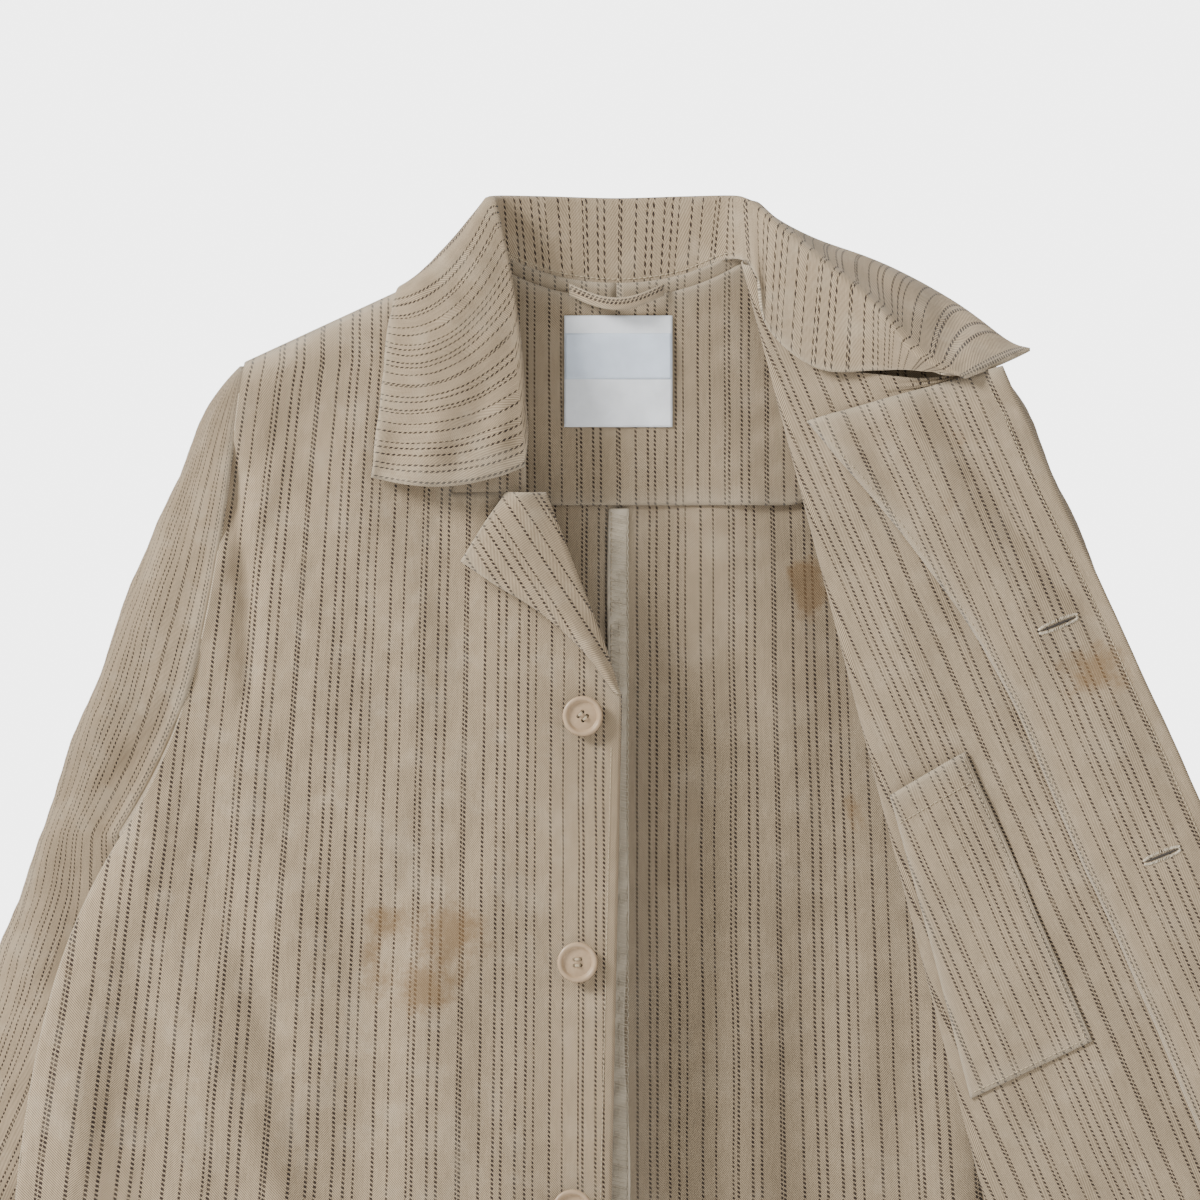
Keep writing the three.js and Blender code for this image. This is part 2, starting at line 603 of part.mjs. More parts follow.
// The left collar is turned up with the front: its stand rolls up and its leaf lies back.
const leftGorge = through([[6, 22, 2], [14, 52, 3], [31, 80, 3], [58, 91, 3], [88, 102, 3]]);
const leftRoll = through([
  [NECK_HALF + 8, -9, COLLAR_STAND - 5],
  [93, -24, 32],
  [125, -40, 5],
  [154, -53, -20],
  [176, -62, -47],
]);
function leftStand(u, v) {
  const g = leftGorge(v);
  return turned(g.x, g.y, g.z - FOLD_OFFSET).lerp(leftRoll(v), u);
}
piece('collar_stand_left', sheet(flip(leftStand), 4, 8, 1.4), TWILL);

const leafFoot = through([
  [NECK_HALF + 8, -6, COLLAR_STAND - 4],
  [94, -21, 34],
  [126, -37, 7],
  [156, -50, -18],
  [180, -64, -45],
  [206, -73, -60],
]);
const leafRim = through([
  [NECK_HALF + 13, 3, COLLAR_STAND - 6],
  [106, 7, 29],
  [134, 5, 19],
  [161, 1, 9],
  [196, -10, -12],
  [243, -50, -41],
]);
const leftLeaf = (u, v) => leafFoot(v).lerp(leafRim(v), u).add(vec(0, 0, 3 * Math.sin(Math.PI * u)));
piece('collar_leaf_left', sheet(flip(leftLeaf), 4, 9, COLLAR_CLOTH), TWILL);

// ---- sleeves ------------------------------------------------------------------------------------

const CUFF_FALL = SHOULDER_FALL + SLEEVE_LENGTH / Math.hypot(1, SLEEVE_LEAN);
const BICEP_FALL = ARMPIT_FALL + 100;

/** Size and place of the hanging sleeve at height z. */
function sleeveAt(z) {
  const fall = Math.max(0, -SHOULDER_FALL - z);
  const outer = SHOULDER_HALF + SLEEVE_HEAD * (1 - Math.exp(-fall / SLEEVE_HEAD_RUN)) + SLEEVE_LEAN * fall;
  const near = smooth((-z - 240) / (ARMPIT_FALL - 240));
  const taper = clamp((-z - BICEP_FALL) / (CUFF_FALL - BICEP_FALL));
  const half = lerp(BICEP_HALF, CUFF_HALF, taper);
  const below = clamp((-ARMPIT_FALL - z) / (BICEP_FALL - ARMPIT_FALL));
  const armpit = halfWidth(Math.max(z, -ARMPIT_FALL)) + 4 * near;
  const middle = lerp(armpit, outer - half, smooth(below));
  const armhole = (backY(halfWidth(z), z) - frontY(halfWidth(z), z)) / 2;
  const armholeY = (backY(halfWidth(z), z) + frontY(halfWidth(z), z)) / 2;
  const depth = lerp(lerp(armhole, 16, near), lerp(BICEP_DEPTH, CUFF_DEPTH, taper), smooth(below));
  const y = lerp(lerp(armholeY, 24, near), SLEEVE_BACK, smooth(below));
  return { outer, middle, depth, y, inner: half * smooth(below * 1.25) };
}

const EDGE = 88.8; // degrees: the two halves leave a seam's clearance
function sleeveTop(side) {
  return (u, v) => {
    const z = lerp(-SHOULDER_FALL - 3, -CUFF_FALL, v ** 1.2);
    const s = sleeveAt(z);
    const angle = lerp(-EDGE, EDGE, u) * RAD;
    const x = s.middle + 0.6 + (s.outer - s.middle) * Math.cos(angle);
    return vec(side * x, s.y + s.depth * Math.sin(angle), z);
  };
}
function sleeveUnder(side) {
  return (u, v) => {
    const z = lerp(-ARMPIT_FALL - 8, -CUFF_FALL, v ** 1.2);
    const s = sleeveAt(z);
    const angle = lerp(-EDGE, EDGE, u) * RAD;
    const x = s.middle - 0.6 - s.inner * Math.cos(angle);
    return vec(side * x, s.y + s.depth * Math.sin(angle), z);
  };
}
for (const [side, word] of [[1, 'left'], [-1, 'right']]) {
  piece(`sleeve_top_${word}`, sheet(ofSide(sleeveTop(side), -side), 10, 14, CLOTH), TWILL);
  piece(`sleeve_under_${word}`, sheet(ofSide(sleeveUnder(side), side), 8, 9, CLOTH), TWILL);
}

export default jacket;
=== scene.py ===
"""A striped herringbone work jacket, hung by its shoulders with its left front turned back.

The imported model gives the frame: metres, +Z up, the jacket's front faces -Y, and its own right
side is at -X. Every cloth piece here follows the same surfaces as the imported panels, with folds,
weave and sewing added.
"""

import logging
import math
from dataclasses import dataclass
from enum import Enum
from typing import Callable, Sequence

import bmesh
import bpy
import numpy as np
from mathutils import Matrix, Vector


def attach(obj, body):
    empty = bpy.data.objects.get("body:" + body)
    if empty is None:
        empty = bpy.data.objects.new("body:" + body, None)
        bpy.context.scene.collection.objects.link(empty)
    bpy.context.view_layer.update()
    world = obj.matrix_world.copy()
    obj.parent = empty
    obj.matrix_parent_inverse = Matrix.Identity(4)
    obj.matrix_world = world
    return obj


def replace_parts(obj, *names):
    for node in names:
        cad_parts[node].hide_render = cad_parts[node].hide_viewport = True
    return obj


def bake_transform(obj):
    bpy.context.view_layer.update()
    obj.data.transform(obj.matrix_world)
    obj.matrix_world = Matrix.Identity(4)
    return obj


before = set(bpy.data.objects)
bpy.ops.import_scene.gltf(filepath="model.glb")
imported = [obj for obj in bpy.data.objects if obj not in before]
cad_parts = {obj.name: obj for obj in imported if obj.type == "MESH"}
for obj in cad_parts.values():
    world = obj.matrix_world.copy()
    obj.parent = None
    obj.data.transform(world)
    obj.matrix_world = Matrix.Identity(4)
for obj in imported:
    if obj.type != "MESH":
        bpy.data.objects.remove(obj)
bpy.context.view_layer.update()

log = logging.getLogger("jacket")

Array = np.ndarray
Surface = Callable[[Array, Array], Array]
MM = 0.001
UV_NAME = "Cloth"


# ---- numbers and curves --------------------------------------------------------------------------


def clamp(t: Array | float) -> Array:
    """Limits t to the range 0 to 1."""
    return np.clip(t, 0.0, 1.0)


def lerp(a: Array | float, b: Array | float, t: Array | float) -> Array:
    """Goes from a to b as t goes from 0 to 1."""
    return a + (b - a) * t


def smooth(t: Array | float) -> Array:
    """Eases t in and out between 0 and 1."""
    t = clamp(t)
    return t * t * (3 - 2 * t)


def bell(t: Array | float) -> Array:
    """1 at 0, falling smoothly to nothing at about 2 either way."""
    return np.exp(-np.square(t))


def stack(x: Array | float, y: Array | float, z: Array | float) -> Array:
    """Points from their three coordinates."""
    return np.stack(np.broadcast_arrays(x, y, z), axis=-1).astype(float)


class Curve:
    """A smooth line through a few points, given in millimetres."""

    def __init__(self, points: Sequence[Sequence[float]]) -> None:
        """Keeps the points in metres, with one more at each end for the end tangents."""
        p = np.array(points, float) * MM
        self.points = np.vstack([2 * p[0] - p[1], p, 2 * p[-1] - p[-2]])
        self.spans = len(p) - 1

    def __call__(self, t: Array | float) -> Array:
        """Points of the line."""
        t = clamp(np.asarray(t, float)) * self.spans
        i = np.minimum(t.astype(int), self.spans - 1)
        s = (t - i)[..., None]
        p0, p1, p2, p3 = (self.points[i + k] for k in range(4))
        d = [
            np.sqrt(np.linalg.norm(b - a, axis=-1, keepdims=True)) + 1e-9
            for a, b in ((p0, p1), (p1, p2), (p2, p3))
        ]
        m1 = ((p1 - p0) / d[0] - (p2 - p0) / (d[0] + d[1]) + (p2 - p1) / d[1]) * d[1]
        m2 = ((p2 - p1) / d[1] - (p3 - p1) / (d[1] + d[2]) + (p3 - p2) / d[2]) * d[1]
        a = 2 * (p1 - p2) + m1 + m2
        b = 3 * (p2 - p1) - 2 * m1 - m2
        return ((a * s + b) * s + m1) * s + p1


def ripple(a: Array, b: Array, scale: float, seed: int, waves: int = 7) -> Array:
    """A soft random surface about 1 high, the same each run.

    Args:
        a: first coordinate, in metres.
        b: second coordinate, in metres.
        scale: typical distance between crests, in metres.
        seed: picks the pattern.
        waves: how many waves are added up.

    Returns:
        Heights of about -1 to 1.
    """
    random = np.random.RandomState(seed)
    height = np.zeros(np.broadcast(a, b).shape)
    for _ in range(waves):
        angle = random.uniform(0, math.pi)
        k = 2 * math.pi / (scale * random.uniform(0.7, 1.6))
        height += np.sin(k * (a * math.cos(angle) + b * math.sin(angle)) + random.uniform(0, 6.28))
    return height / math.sqrt(waves)


@dataclass(frozen=True)
class Fold:
    """A crease or a soft fold in cloth, along a line on its surface."""

    start: tuple[float, float]
    end: tuple[float, float]
    width: float
    rise: float
    bow: float = 0.0

    def height(self, a: Array, b: Array) -> Array:
        """How far the cloth stands up.

        Args:
            a: first surface coordinate, in metres.
            b: second surface coordinate, in metres.

        Returns:
            Heights in metres, positive towards the outside.
        """
        s, e = np.array(self.start) * MM, np.array(self.end) * MM
        d = e - s
        length = np.linalg.norm(d)
        d = d / length
        along = ((a - s[0]) * d[0] + (b - s[1]) * d[1]) / length
        side = (a - s[0]) * -d[1] + (b - s[1]) * d[0]
        side = side - self.bow * MM * (1 - np.square(2 * along - 1))
        ends = smooth((along + 0.15) / 0.3) * smooth((1.15 - along) / 0.3)
        return self.rise * MM * bell(side / (self.width * MM)) * ends


def creased(folds: Sequence[Fold], a: Array, b: Array) -> Array:
    """The sum of several folds at surface coordinates a and b."""
    total = np.zeros(np.broadcast(a, b).shape)
    for fold in folds:
        total += fold.height(a, b)
    return total


@dataclass(frozen=True)
class Spot:
    """A stained place, in the jacket's frame."""

    x: float
    y: float
    z: float
    wide: float
    high: float
    strength: float = 1.0

    def amount(self, p: Array) -> Array:
        """How dirty each point is, from 0 to strength."""
        r = np.square((p[..., 0] - self.x * MM) / (self.wide * MM))
        r = r + np.square((p[..., 2] - self.z * MM) / (self.high * MM))
        r = r + np.square((p[..., 1] - self.y * MM) / (25 * MM))
        return self.strength * np.exp(-r)


# ---- the body's shape ----------------------------------------------------------------------------


@dataclass(frozen=True)
class BodyShape:
    """Sizes of the jacket's body in millimetres, and the surfaces that they give in metres."""

    back_length: float = 790
    neck_half: float = 74
    neck_rise: float = 20
    shoulder_half: float = 223
    shoulder_fall: float = 49
    armpit_fall: float = 331
    chest_half: float = 295
    hem_half: float = 373
    flare: float = 62
    flare_run: float = 100
    front_depth: float = 12
    front_swell: float = 34
    back_depth: float = 10
    back_swell: float = 14
    side_forward: float = 22
    ridge: float = 20

    @property
    def hem(self) -> float:
        """Height of the hem, in metres."""
        return -self.back_length * MM

    @property
    def armpit(self) -> float:
        """Height of the armpit, in metres."""
        return -self.armpit_fall * MM

    def half_width(self, z: Array | float) -> Array:
        """Half width of the body at height z: the armhole above the armpit, the side seam below."""
        z = np.asarray(z, float) / MM
        t = clamp((-self.shoulder_fall - z) / (self.armpit_fall - self.shoulder_fall))
        above = self.shoulder_half + (self.chest_half - self.shoulder_half) * (0.47 * t + 0.53 * t**4)
        fall = np.maximum(0, -self.armpit_fall - z)
        rest = (self.hem_half - self.chest_half - self.flare) * fall / (self.back_length - self.armpit_fall)
        return np.where(
            fall > 0, self.chest_half + self.flare * (1 - np.exp(-fall / self.flare_run)) + rest, above
        ) * MM

    def top_line(self, x: Array | float) -> Array:
        """Height of the shoulder seam, and of the back neck seam between the neck points."""
        r = np.abs(np.asarray(x, float)) / MM
        t = (np.minimum(r, self.shoulder_half) - self.neck_half) / (self.shoulder_half - self.neck_half)
        slope = lerp(self.neck_rise, -self.shoulder_fall, t)
        return np.where(r < self.neck_half, self.neck_rise * (r / self.neck_half) ** 2.2, slope) * MM

    def roll(self, x: Array, z: Array) -> Array:
        """Share of the full depth that the cloth has this far below its ridge."""
        ridge_line = np.where(np.abs(x) < self.neck_half * MM, self.neck_rise * MM, self.top_line(x))
        t = clamp((ridge_line - z) / (self.ridge * MM))
        return np.sqrt(1 - np.square(1 - t))

    def fullness(self, x: Array, z: Array) -> Array:
        """0 at the side seam, where front and back meet, and 1 where they hang free."""
        t = clamp((z / MM + self.armpit_fall) / (self.armpit_fall - self.shoulder_fall))
        r = np.minimum(1, np.abs(x) / self.half_width(z))
        return np.sqrt(np.maximum(0, 1 - (1 - t) ** 3 * r**5))

    def side_y(self, z: Array) -> Array:
        """How far forward the side seam hangs at height z."""
        return lerp(-4, -self.side_forward, smooth((-self.armpit_fall - z / MM) / 100)) * MM

    def fall_share(self, z: Array) -> Array:
        """0 at the neck points and 1 at the hem."""
        return clamp((self.neck_rise - z / MM) / (self.back_length + self.neck_rise))

    def front_y(self, x: Array, z: Array) -> Array:
        """Y of the front panels."""
        depth = -(self.front_depth + self.front_swell * self.fall_share(z)) * MM
        return lerp(self.side_y(z), depth, self.fullness(x, z)) * self.roll(x, z)

    def back_y(self, x: Array, z: Array) -> Array:
        """Y of the back panels."""
        depth = (self.back_depth + self.back_swell * self.fall_share(z)) * MM
        return lerp(self.side_y(z), depth, self.fullness(x, z)) * self.roll(x, z)

    def grain(self, x: Array, z: Array) -> Array:
        """Cloth coordinates of a body point: the stripes spread a little towards the hem."""
        spread = 0.42 * clamp((-0.05 - z) / 0.74) ** 0.8 / 0.27 + 1e-6
        r = np.abs(x)
        across = (-1 + np.sqrt(1 + 4 * spread * r)) / (2 * spread)
        return np.stack([np.sign(x) * across, z], axis=-1)


BODY = BodyShape()


# ---- cloth meshes --------------------------------------------------------------------------------


@dataclass
class Patch:
    """One block of a cloth piece: a grid of points with their cloth coordinates."""

    points: Array
    grain: Array

    @staticmethod
    def of(surface: Surface, across: int, along: int, grain: Surface | None = None) -> "Patch":
        """Samples a surface.

        Args:
            surface: gives points for u and v from 0 to 1.
            across: number of steps in u.
            along: number of steps in v.
            grain: gives cloth coordinates for u and v, or None to measure them along the rows.

        Returns:
            The block.
        """
        u, v = np.meshgrid(np.linspace(0, 1, across + 1), np.linspace(0, 1, along + 1))
        points = surface(u, v)
        if grain is None:
            steps = np.linalg.norm(np.diff(points, axis=1), axis=-1)
            width = np.concatenate([np.zeros((along + 1, 1)), np.cumsum(steps, axis=1)], axis=1)
            falls = np.linalg.norm(np.diff(points, axis=0), axis=-1).mean(axis=1)
            length = np.concatenate([[0], np.cumsum(falls)])[:, None] + 0 * width
            return Patch(points, np.stack([width, length], axis=-1))
        return Patch(points, grain(u, v))


class Cloth:
    """Builds one piece of cloth from blocks of surface, with its thickness and attributes."""

    def __init__(
        self, name: str, patches: Sequence[Patch], thick: float, spots: Sequence[Spot] = ()
    ) -> None:
        """Makes the mesh."""
        verts: list[tuple[float, float, float]] = []
        known: dict[tuple[int, int, int], int] = {}
        faces: list[tuple[int, int, int, int]] = []
        grains: list[Array] = []
        for patch in patches:
            rows, columns = patch.points.shape[:2]
            flat = patch.points.reshape(-1, 3)
            keys = np.round(flat * 2e4).astype(int)
            index = np.empty(len(flat), int)
            for k, key in enumerate(map(tuple, keys)):
                if key not in known:
                    known[key] = len(verts)
                    verts.append(tuple(flat[k]))
                    grains.append(patch.grain.reshape(-1, 2)[k])
                index[k] = known[key]
            index = index.reshape(rows, columns)
            corners = np.stack([index[:-1, :-1], index[1:, :-1], index[1:, 1:], index[:-1, 1:]], -1)
            for quad in corners.reshape(-1, 4):
                ring = tuple(dict.fromkeys(int(i) for i in quad))
                if len(ring) > 2:
                    faces.append(ring)
        mesh = bpy.data.meshes.new(name)
        mesh.from_pydata(verts, [], faces)
        shape = bmesh.new()
        shape.from_mesh(mesh)
        bmesh.ops.recalc_face_normals(shape, faces=shape.faces)
        shape.to_mesh(mesh)
        shape.free()
        self.place = np.array(verts)
        self.grain = np.array(grains)
        self.mesh = mesh
        self._write_grain()
        self._write_float("soil", sum((s.amount(self.place) for s in spots), np.zeros(len(verts))))
        self._write_float("rim", self._rim())
        mesh.polygons.foreach_set("use_smooth", [True] * len(mesh.polygons))
        self.object = bpy.data.objects.new(name, mesh)
        bpy.context.scene.collection.objects.link(self.object)
        self.thick = thick * MM
        shell = self.object.modifiers.new("thickness", "SOLIDIFY")
        shell.thickness = self.thick
        shell.offset = 0
        shell.use_even_offset = False

    def _write_grain(self) -> None:
        """Stores the cloth coordinates as a UV map, in metres of cloth."""
        layer = self.mesh.uv_layers.new(name=UV_NAME)
        loops = np.zeros(len(self.mesh.loops), int)
        self.mesh.loops.foreach_get("vertex_index", loops)
        layer.data.foreach_set("uv", self.grain[loops].astype(np.float32).ravel())

    def _write_float(self, name: str, values: Array) -> None:
        """Stores one number for each point."""
        attribute = self.mesh.attributes.new(name, "FLOAT", "POINT")
        attribute.data.foreach_set("value", np.asarray(values, np.float32))

    def _rim(self) -> Array:
        """1 along the piece's own edges, fading over a few rows."""
        edges = np.zeros(len(self.mesh.edges) * 2, int)
        self.mesh.edges.foreach_get("vertices", edges)
        edges = edges.reshape(-1, 2)
        uses: dict[tuple[int, int], int] = {}
        for polygon in self.mesh.polygons:
            for key in polygon.edge_keys:
                uses[key] = uses.get(key, 0) + 1
        value = np.zeros(len(self.place))
        for (a, b), count in uses.items():
            if count == 1:
                value[a] = value[b] = 1.0
        for _ in range(3):
            spread = value.copy()
            np.maximum.at(spread, edges[:, 0], value[edges[:, 1]] * 0.55)
            np.maximum.at(spread, edges[:, 1], value[edges[:, 0]] * 0.55)
            value = spread
        return value

    def dress(self, material: bpy.types.Material, slot: str, *nodes: str) -> bpy.types.Object:
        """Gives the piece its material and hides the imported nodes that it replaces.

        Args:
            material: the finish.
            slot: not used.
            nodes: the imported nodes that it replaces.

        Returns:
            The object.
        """
        self.object.data.materials.append(material)
        if nodes:
            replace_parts(self.object, *nodes)
        log.info("%s: %d points", self.object.name, len(self.place))
        return self.object


def surface_normals(surface: Surface, u: Array, v: Array) -> Array:
    """Unit normals of a surface at u and v, by small steps."""
    h = 1e-3
    du = surface(clamp(u + h), v) - surface(clamp(u - h), v)
    dv = surface(u, clamp(v + h)) - surface(u, clamp(v - h))
    n = np.cross(du, dv)
    return n / np.maximum(np.linalg.norm(n, axis=-1, keepdims=True), 1e-12)


# ---- sewing --------------------------------------------------------------------------------------


class Stitching:
    """Rows of thread, gathered into one piece."""

    SIDES = 5

    def __init__(self, name: str) -> None:
        """Starts an empty piece with that name."""
        self.name = name
        self.verts: list[Array] = []
        self.faces: list[tuple[int, ...]] = []

    def strand(self, line: Array, radius: float) -> None:
        """Adds one strand of thread.

        Args:
            line: points of its middle, in metres.
            radius: its radius, in metres.
        """
        line = np.asarray(line, float)
        base = sum(len(v) for v in self.verts)
        tangent = np.gradient(line, axis=0)
        tangent /= np.maximum(np.linalg.norm(tangent, axis=1, keepdims=True), 1e-12)
        aside = np.cross(tangent, [0.31, 0.2, 0.93])
        aside /= np.maximum(np.linalg.norm(aside, axis=1, keepdims=True), 1e-12)
        up = np.cross(aside, tangent)
        size = np.full(len(line), radius)
        size[[0, -1]] *= 0.35
        ring = []
        for k in range(self.SIDES):
            a = 2 * math.pi * k / self.SIDES
            ring.append(line + (aside * math.cos(a) + up * math.sin(a)) * size[:, None])
        self.verts.append(np.stack(ring, axis=1).reshape(-1, 3))
        n = self.SIDES
        for i in range(len(line) - 1):
            for k in range(n):
                a, b = base + i * n + k, base + i * n + (k + 1) % n
                self.faces.append((a, b, b + n, a + n))
        last = base + (len(line) - 1) * n
        self.faces.append(tuple(range(base + n - 1, base - 1, -1)))
        self.faces.append(tuple(range(last, last + n)))

    def row(
        self, line: Array, out: Array, pitch: float = 3.2, long: float = 2.5, thread: float = 0.32
    ) -> None:
        """Adds a row of stitches.

        Args:
            line: points on the cloth's face, in metres.
            out: the direction that the cloth faces at those points.
            pitch: stitch spacing in millimetres.
            long: length of a stitch in millimetres.
            thread: thread radius in millimetres.
        """
        line, out = np.asarray(line, float), np.asarray(out, float)
        out = out / np.maximum(np.linalg.norm(out, axis=1, keepdims=True), 1e-12)
        run = np.concatenate([[0], np.cumsum(np.linalg.norm(np.diff(line, axis=0), axis=1))])
        starts = np.arange(0, run[-1] - long * MM, pitch * MM)
        for start in starts:
            s = start + np.array([0, 0.2, 0.5, 0.8, 1]) * long * MM
            middle = np.stack([np.interp(s, run, line[:, k]) for k in range(3)], axis=1)
            face = np.stack([np.interp(s, run, out[:, k]) for k in range(3)], axis=1)
            lift = np.array([-0.5, 0.3, 0.45, 0.3, -0.5]) * thread * MM
            self.strand(middle + face * lift[:, None], thread * MM)

    def row_on(self, surface: Surface, start: tuple[float, float], end: tuple[float, float], face: float,
               steps: int = 60, **how: float) -> None:
        """Adds a row along a straight line in a surface's own u and v.

        Args:
            surface: the cloth's middle surface.
            start: u and v of the row's start.
            end: u and v of the row's end.
            face: distance from the middle surface to the face, in metres, along its normal.
            steps: number of points used to follow the surface.
            how: stitch sizes, as for row.
        """
        t = np.linspace(0, 1, steps)
        u, v = lerp(start[0], end[0], t), lerp(start[1], end[1], t)
        normals = surface_normals(surface, u, v) * np.sign(face)
        self.row(surface(u, v) + normals * abs(face), normals, **how)

    def make(self, material: bpy.types.Material, slot: str = "thread") -> bpy.types.Object:
        """Builds the piece.

        Args:
            material: the thread's finish.
            slot: not used.

        Returns:
            The object.
        """
        mesh = bpy.data.meshes.new(self.name)
        mesh.from_pydata(np.concatenate(self.verts).tolist(), [], self.faces)
        mesh.polygons.foreach_set("use_smooth", [True] * len(mesh.polygons))
        mesh.materials.append(material)
        thread = bpy.data.objects.new(self.name, mesh)
        bpy.context.scene.collection.objects.link(thread)
        log.info("%s: %d strands", self.name, len(self.verts))
        return thread


# ---- finishes ------------------------------------------------------------------------------------

Color = tuple[float, float, float, float]


class Graph:
    """A short way to write a node tree."""

    def __init__(self, tree: bpy.types.NodeTree) -> None:
        """Keeps the tree that nodes are added to."""
        self.tree = tree

    def node(self, kind: str, **settings: object) -> bpy.types.Node:
        """Adds a node and sets its properties."""
        node = self.tree.nodes.new(kind)
        for name, value in settings.items():
            setattr(node, name, value)
        return node

    def put(self, value: object, socket: bpy.types.NodeSocket) -> None:
        """Links a socket to another, or sets its value."""
        if isinstance(value, bpy.types.NodeSocket):
            self.tree.links.new(value, socket)
        else:
            socket.default_value = value

    def math(self, how: str, *values: object) -> bpy.types.NodeSocket:
        """A Math node's result for one to three inputs."""
        node = self.node("ShaderNodeMath", operation=how)
        for value, socket in zip(values, node.inputs):
            self.put(value, socket)
        return node.outputs[0]

    def mix(self, share: object, a: object, b: object, how: str = "MIX") -> bpy.types.NodeSocket:
        """A colour between a and b, or blended in another way."""
        node = self.node("ShaderNodeMix", data_type="RGBA", blend_type=how)
        self.put(share, node.inputs["Factor"])
        self.put(a, node.inputs[6])
        self.put(b, node.inputs[7])
        return node.outputs[2]

    def noise(
        self, place: object, scale: float, detail: float = 2, rough: float = 0.5
    ) -> bpy.types.NodeSocket:
        """A noise texture's value."""
        node = self.node("ShaderNodeTexNoise")
        self.put(place, node.inputs["Vector"])
        node.inputs["Scale"].default_value = scale
        node.inputs["Detail"].default_value = detail
        node.inputs["Roughness"].default_value = rough
        return node.outputs["Fac"]

    def span(
        self, value: object, low: float, high: float, to_low: float = 0, to_high: float = 1
    ) -> bpy.types.NodeSocket:
        """Maps low..high to to_low..to_high, held at both ends."""
        node = self.node("ShaderNodeMapRange")
        self.put(value, node.inputs["Value"])
        for name, number in (
            ("From Min", low), ("From Max", high), ("To Min", to_low), ("To Max", to_high)
        ):
            node.inputs[name].default_value = number
        return node.outputs["Result"]

    def steps(self, value: object, stops: Sequence[tuple[float, float]]) -> bpy.types.NodeSocket:
        """A value that jumps at each stop, given as place and value."""
        node = self.node("ShaderNodeValToRGB")
        ramp = node.color_ramp
        ramp.interpolation = "CONSTANT"
        ramp.elements[0].position = 0
        ramp.elements[0].color = (stops[0][1],) * 3 + (1,)
        ramp.elements.remove(ramp.elements[1])
        for place, level in stops[1:]:
            ramp.elements.new(place).color = (level,) * 3 + (1,)
        self.put(value, node.inputs["Fac"])
        return node.outputs["Color"]


def new_group(
    name: str, inputs: Sequence[tuple[str, str, object]], outputs: Sequence[tuple[str, str]]
) -> tuple:
    """Starts a shader node group.

    Args:
        name: the group's name.
        inputs: name, socket type and default value of each input.
        outputs: name and socket type of each output.

    Returns:
        The group, a Graph for it, its input node and its output node.
    """
    group = bpy.data.node_groups.new(name, "ShaderNodeTree")
    for label, kind, value in inputs:
        socket = group.interface.new_socket(label, in_out="INPUT", socket_type=kind)
        if value is not None:
            socket.default_value = value
    for label, kind in outputs:
        group.interface.new_socket(label, in_out="OUTPUT", socket_type=kind)
    graph = Graph(group)
    return group, graph, graph.node("NodeGroupInput"), graph.node("NodeGroupOutput")


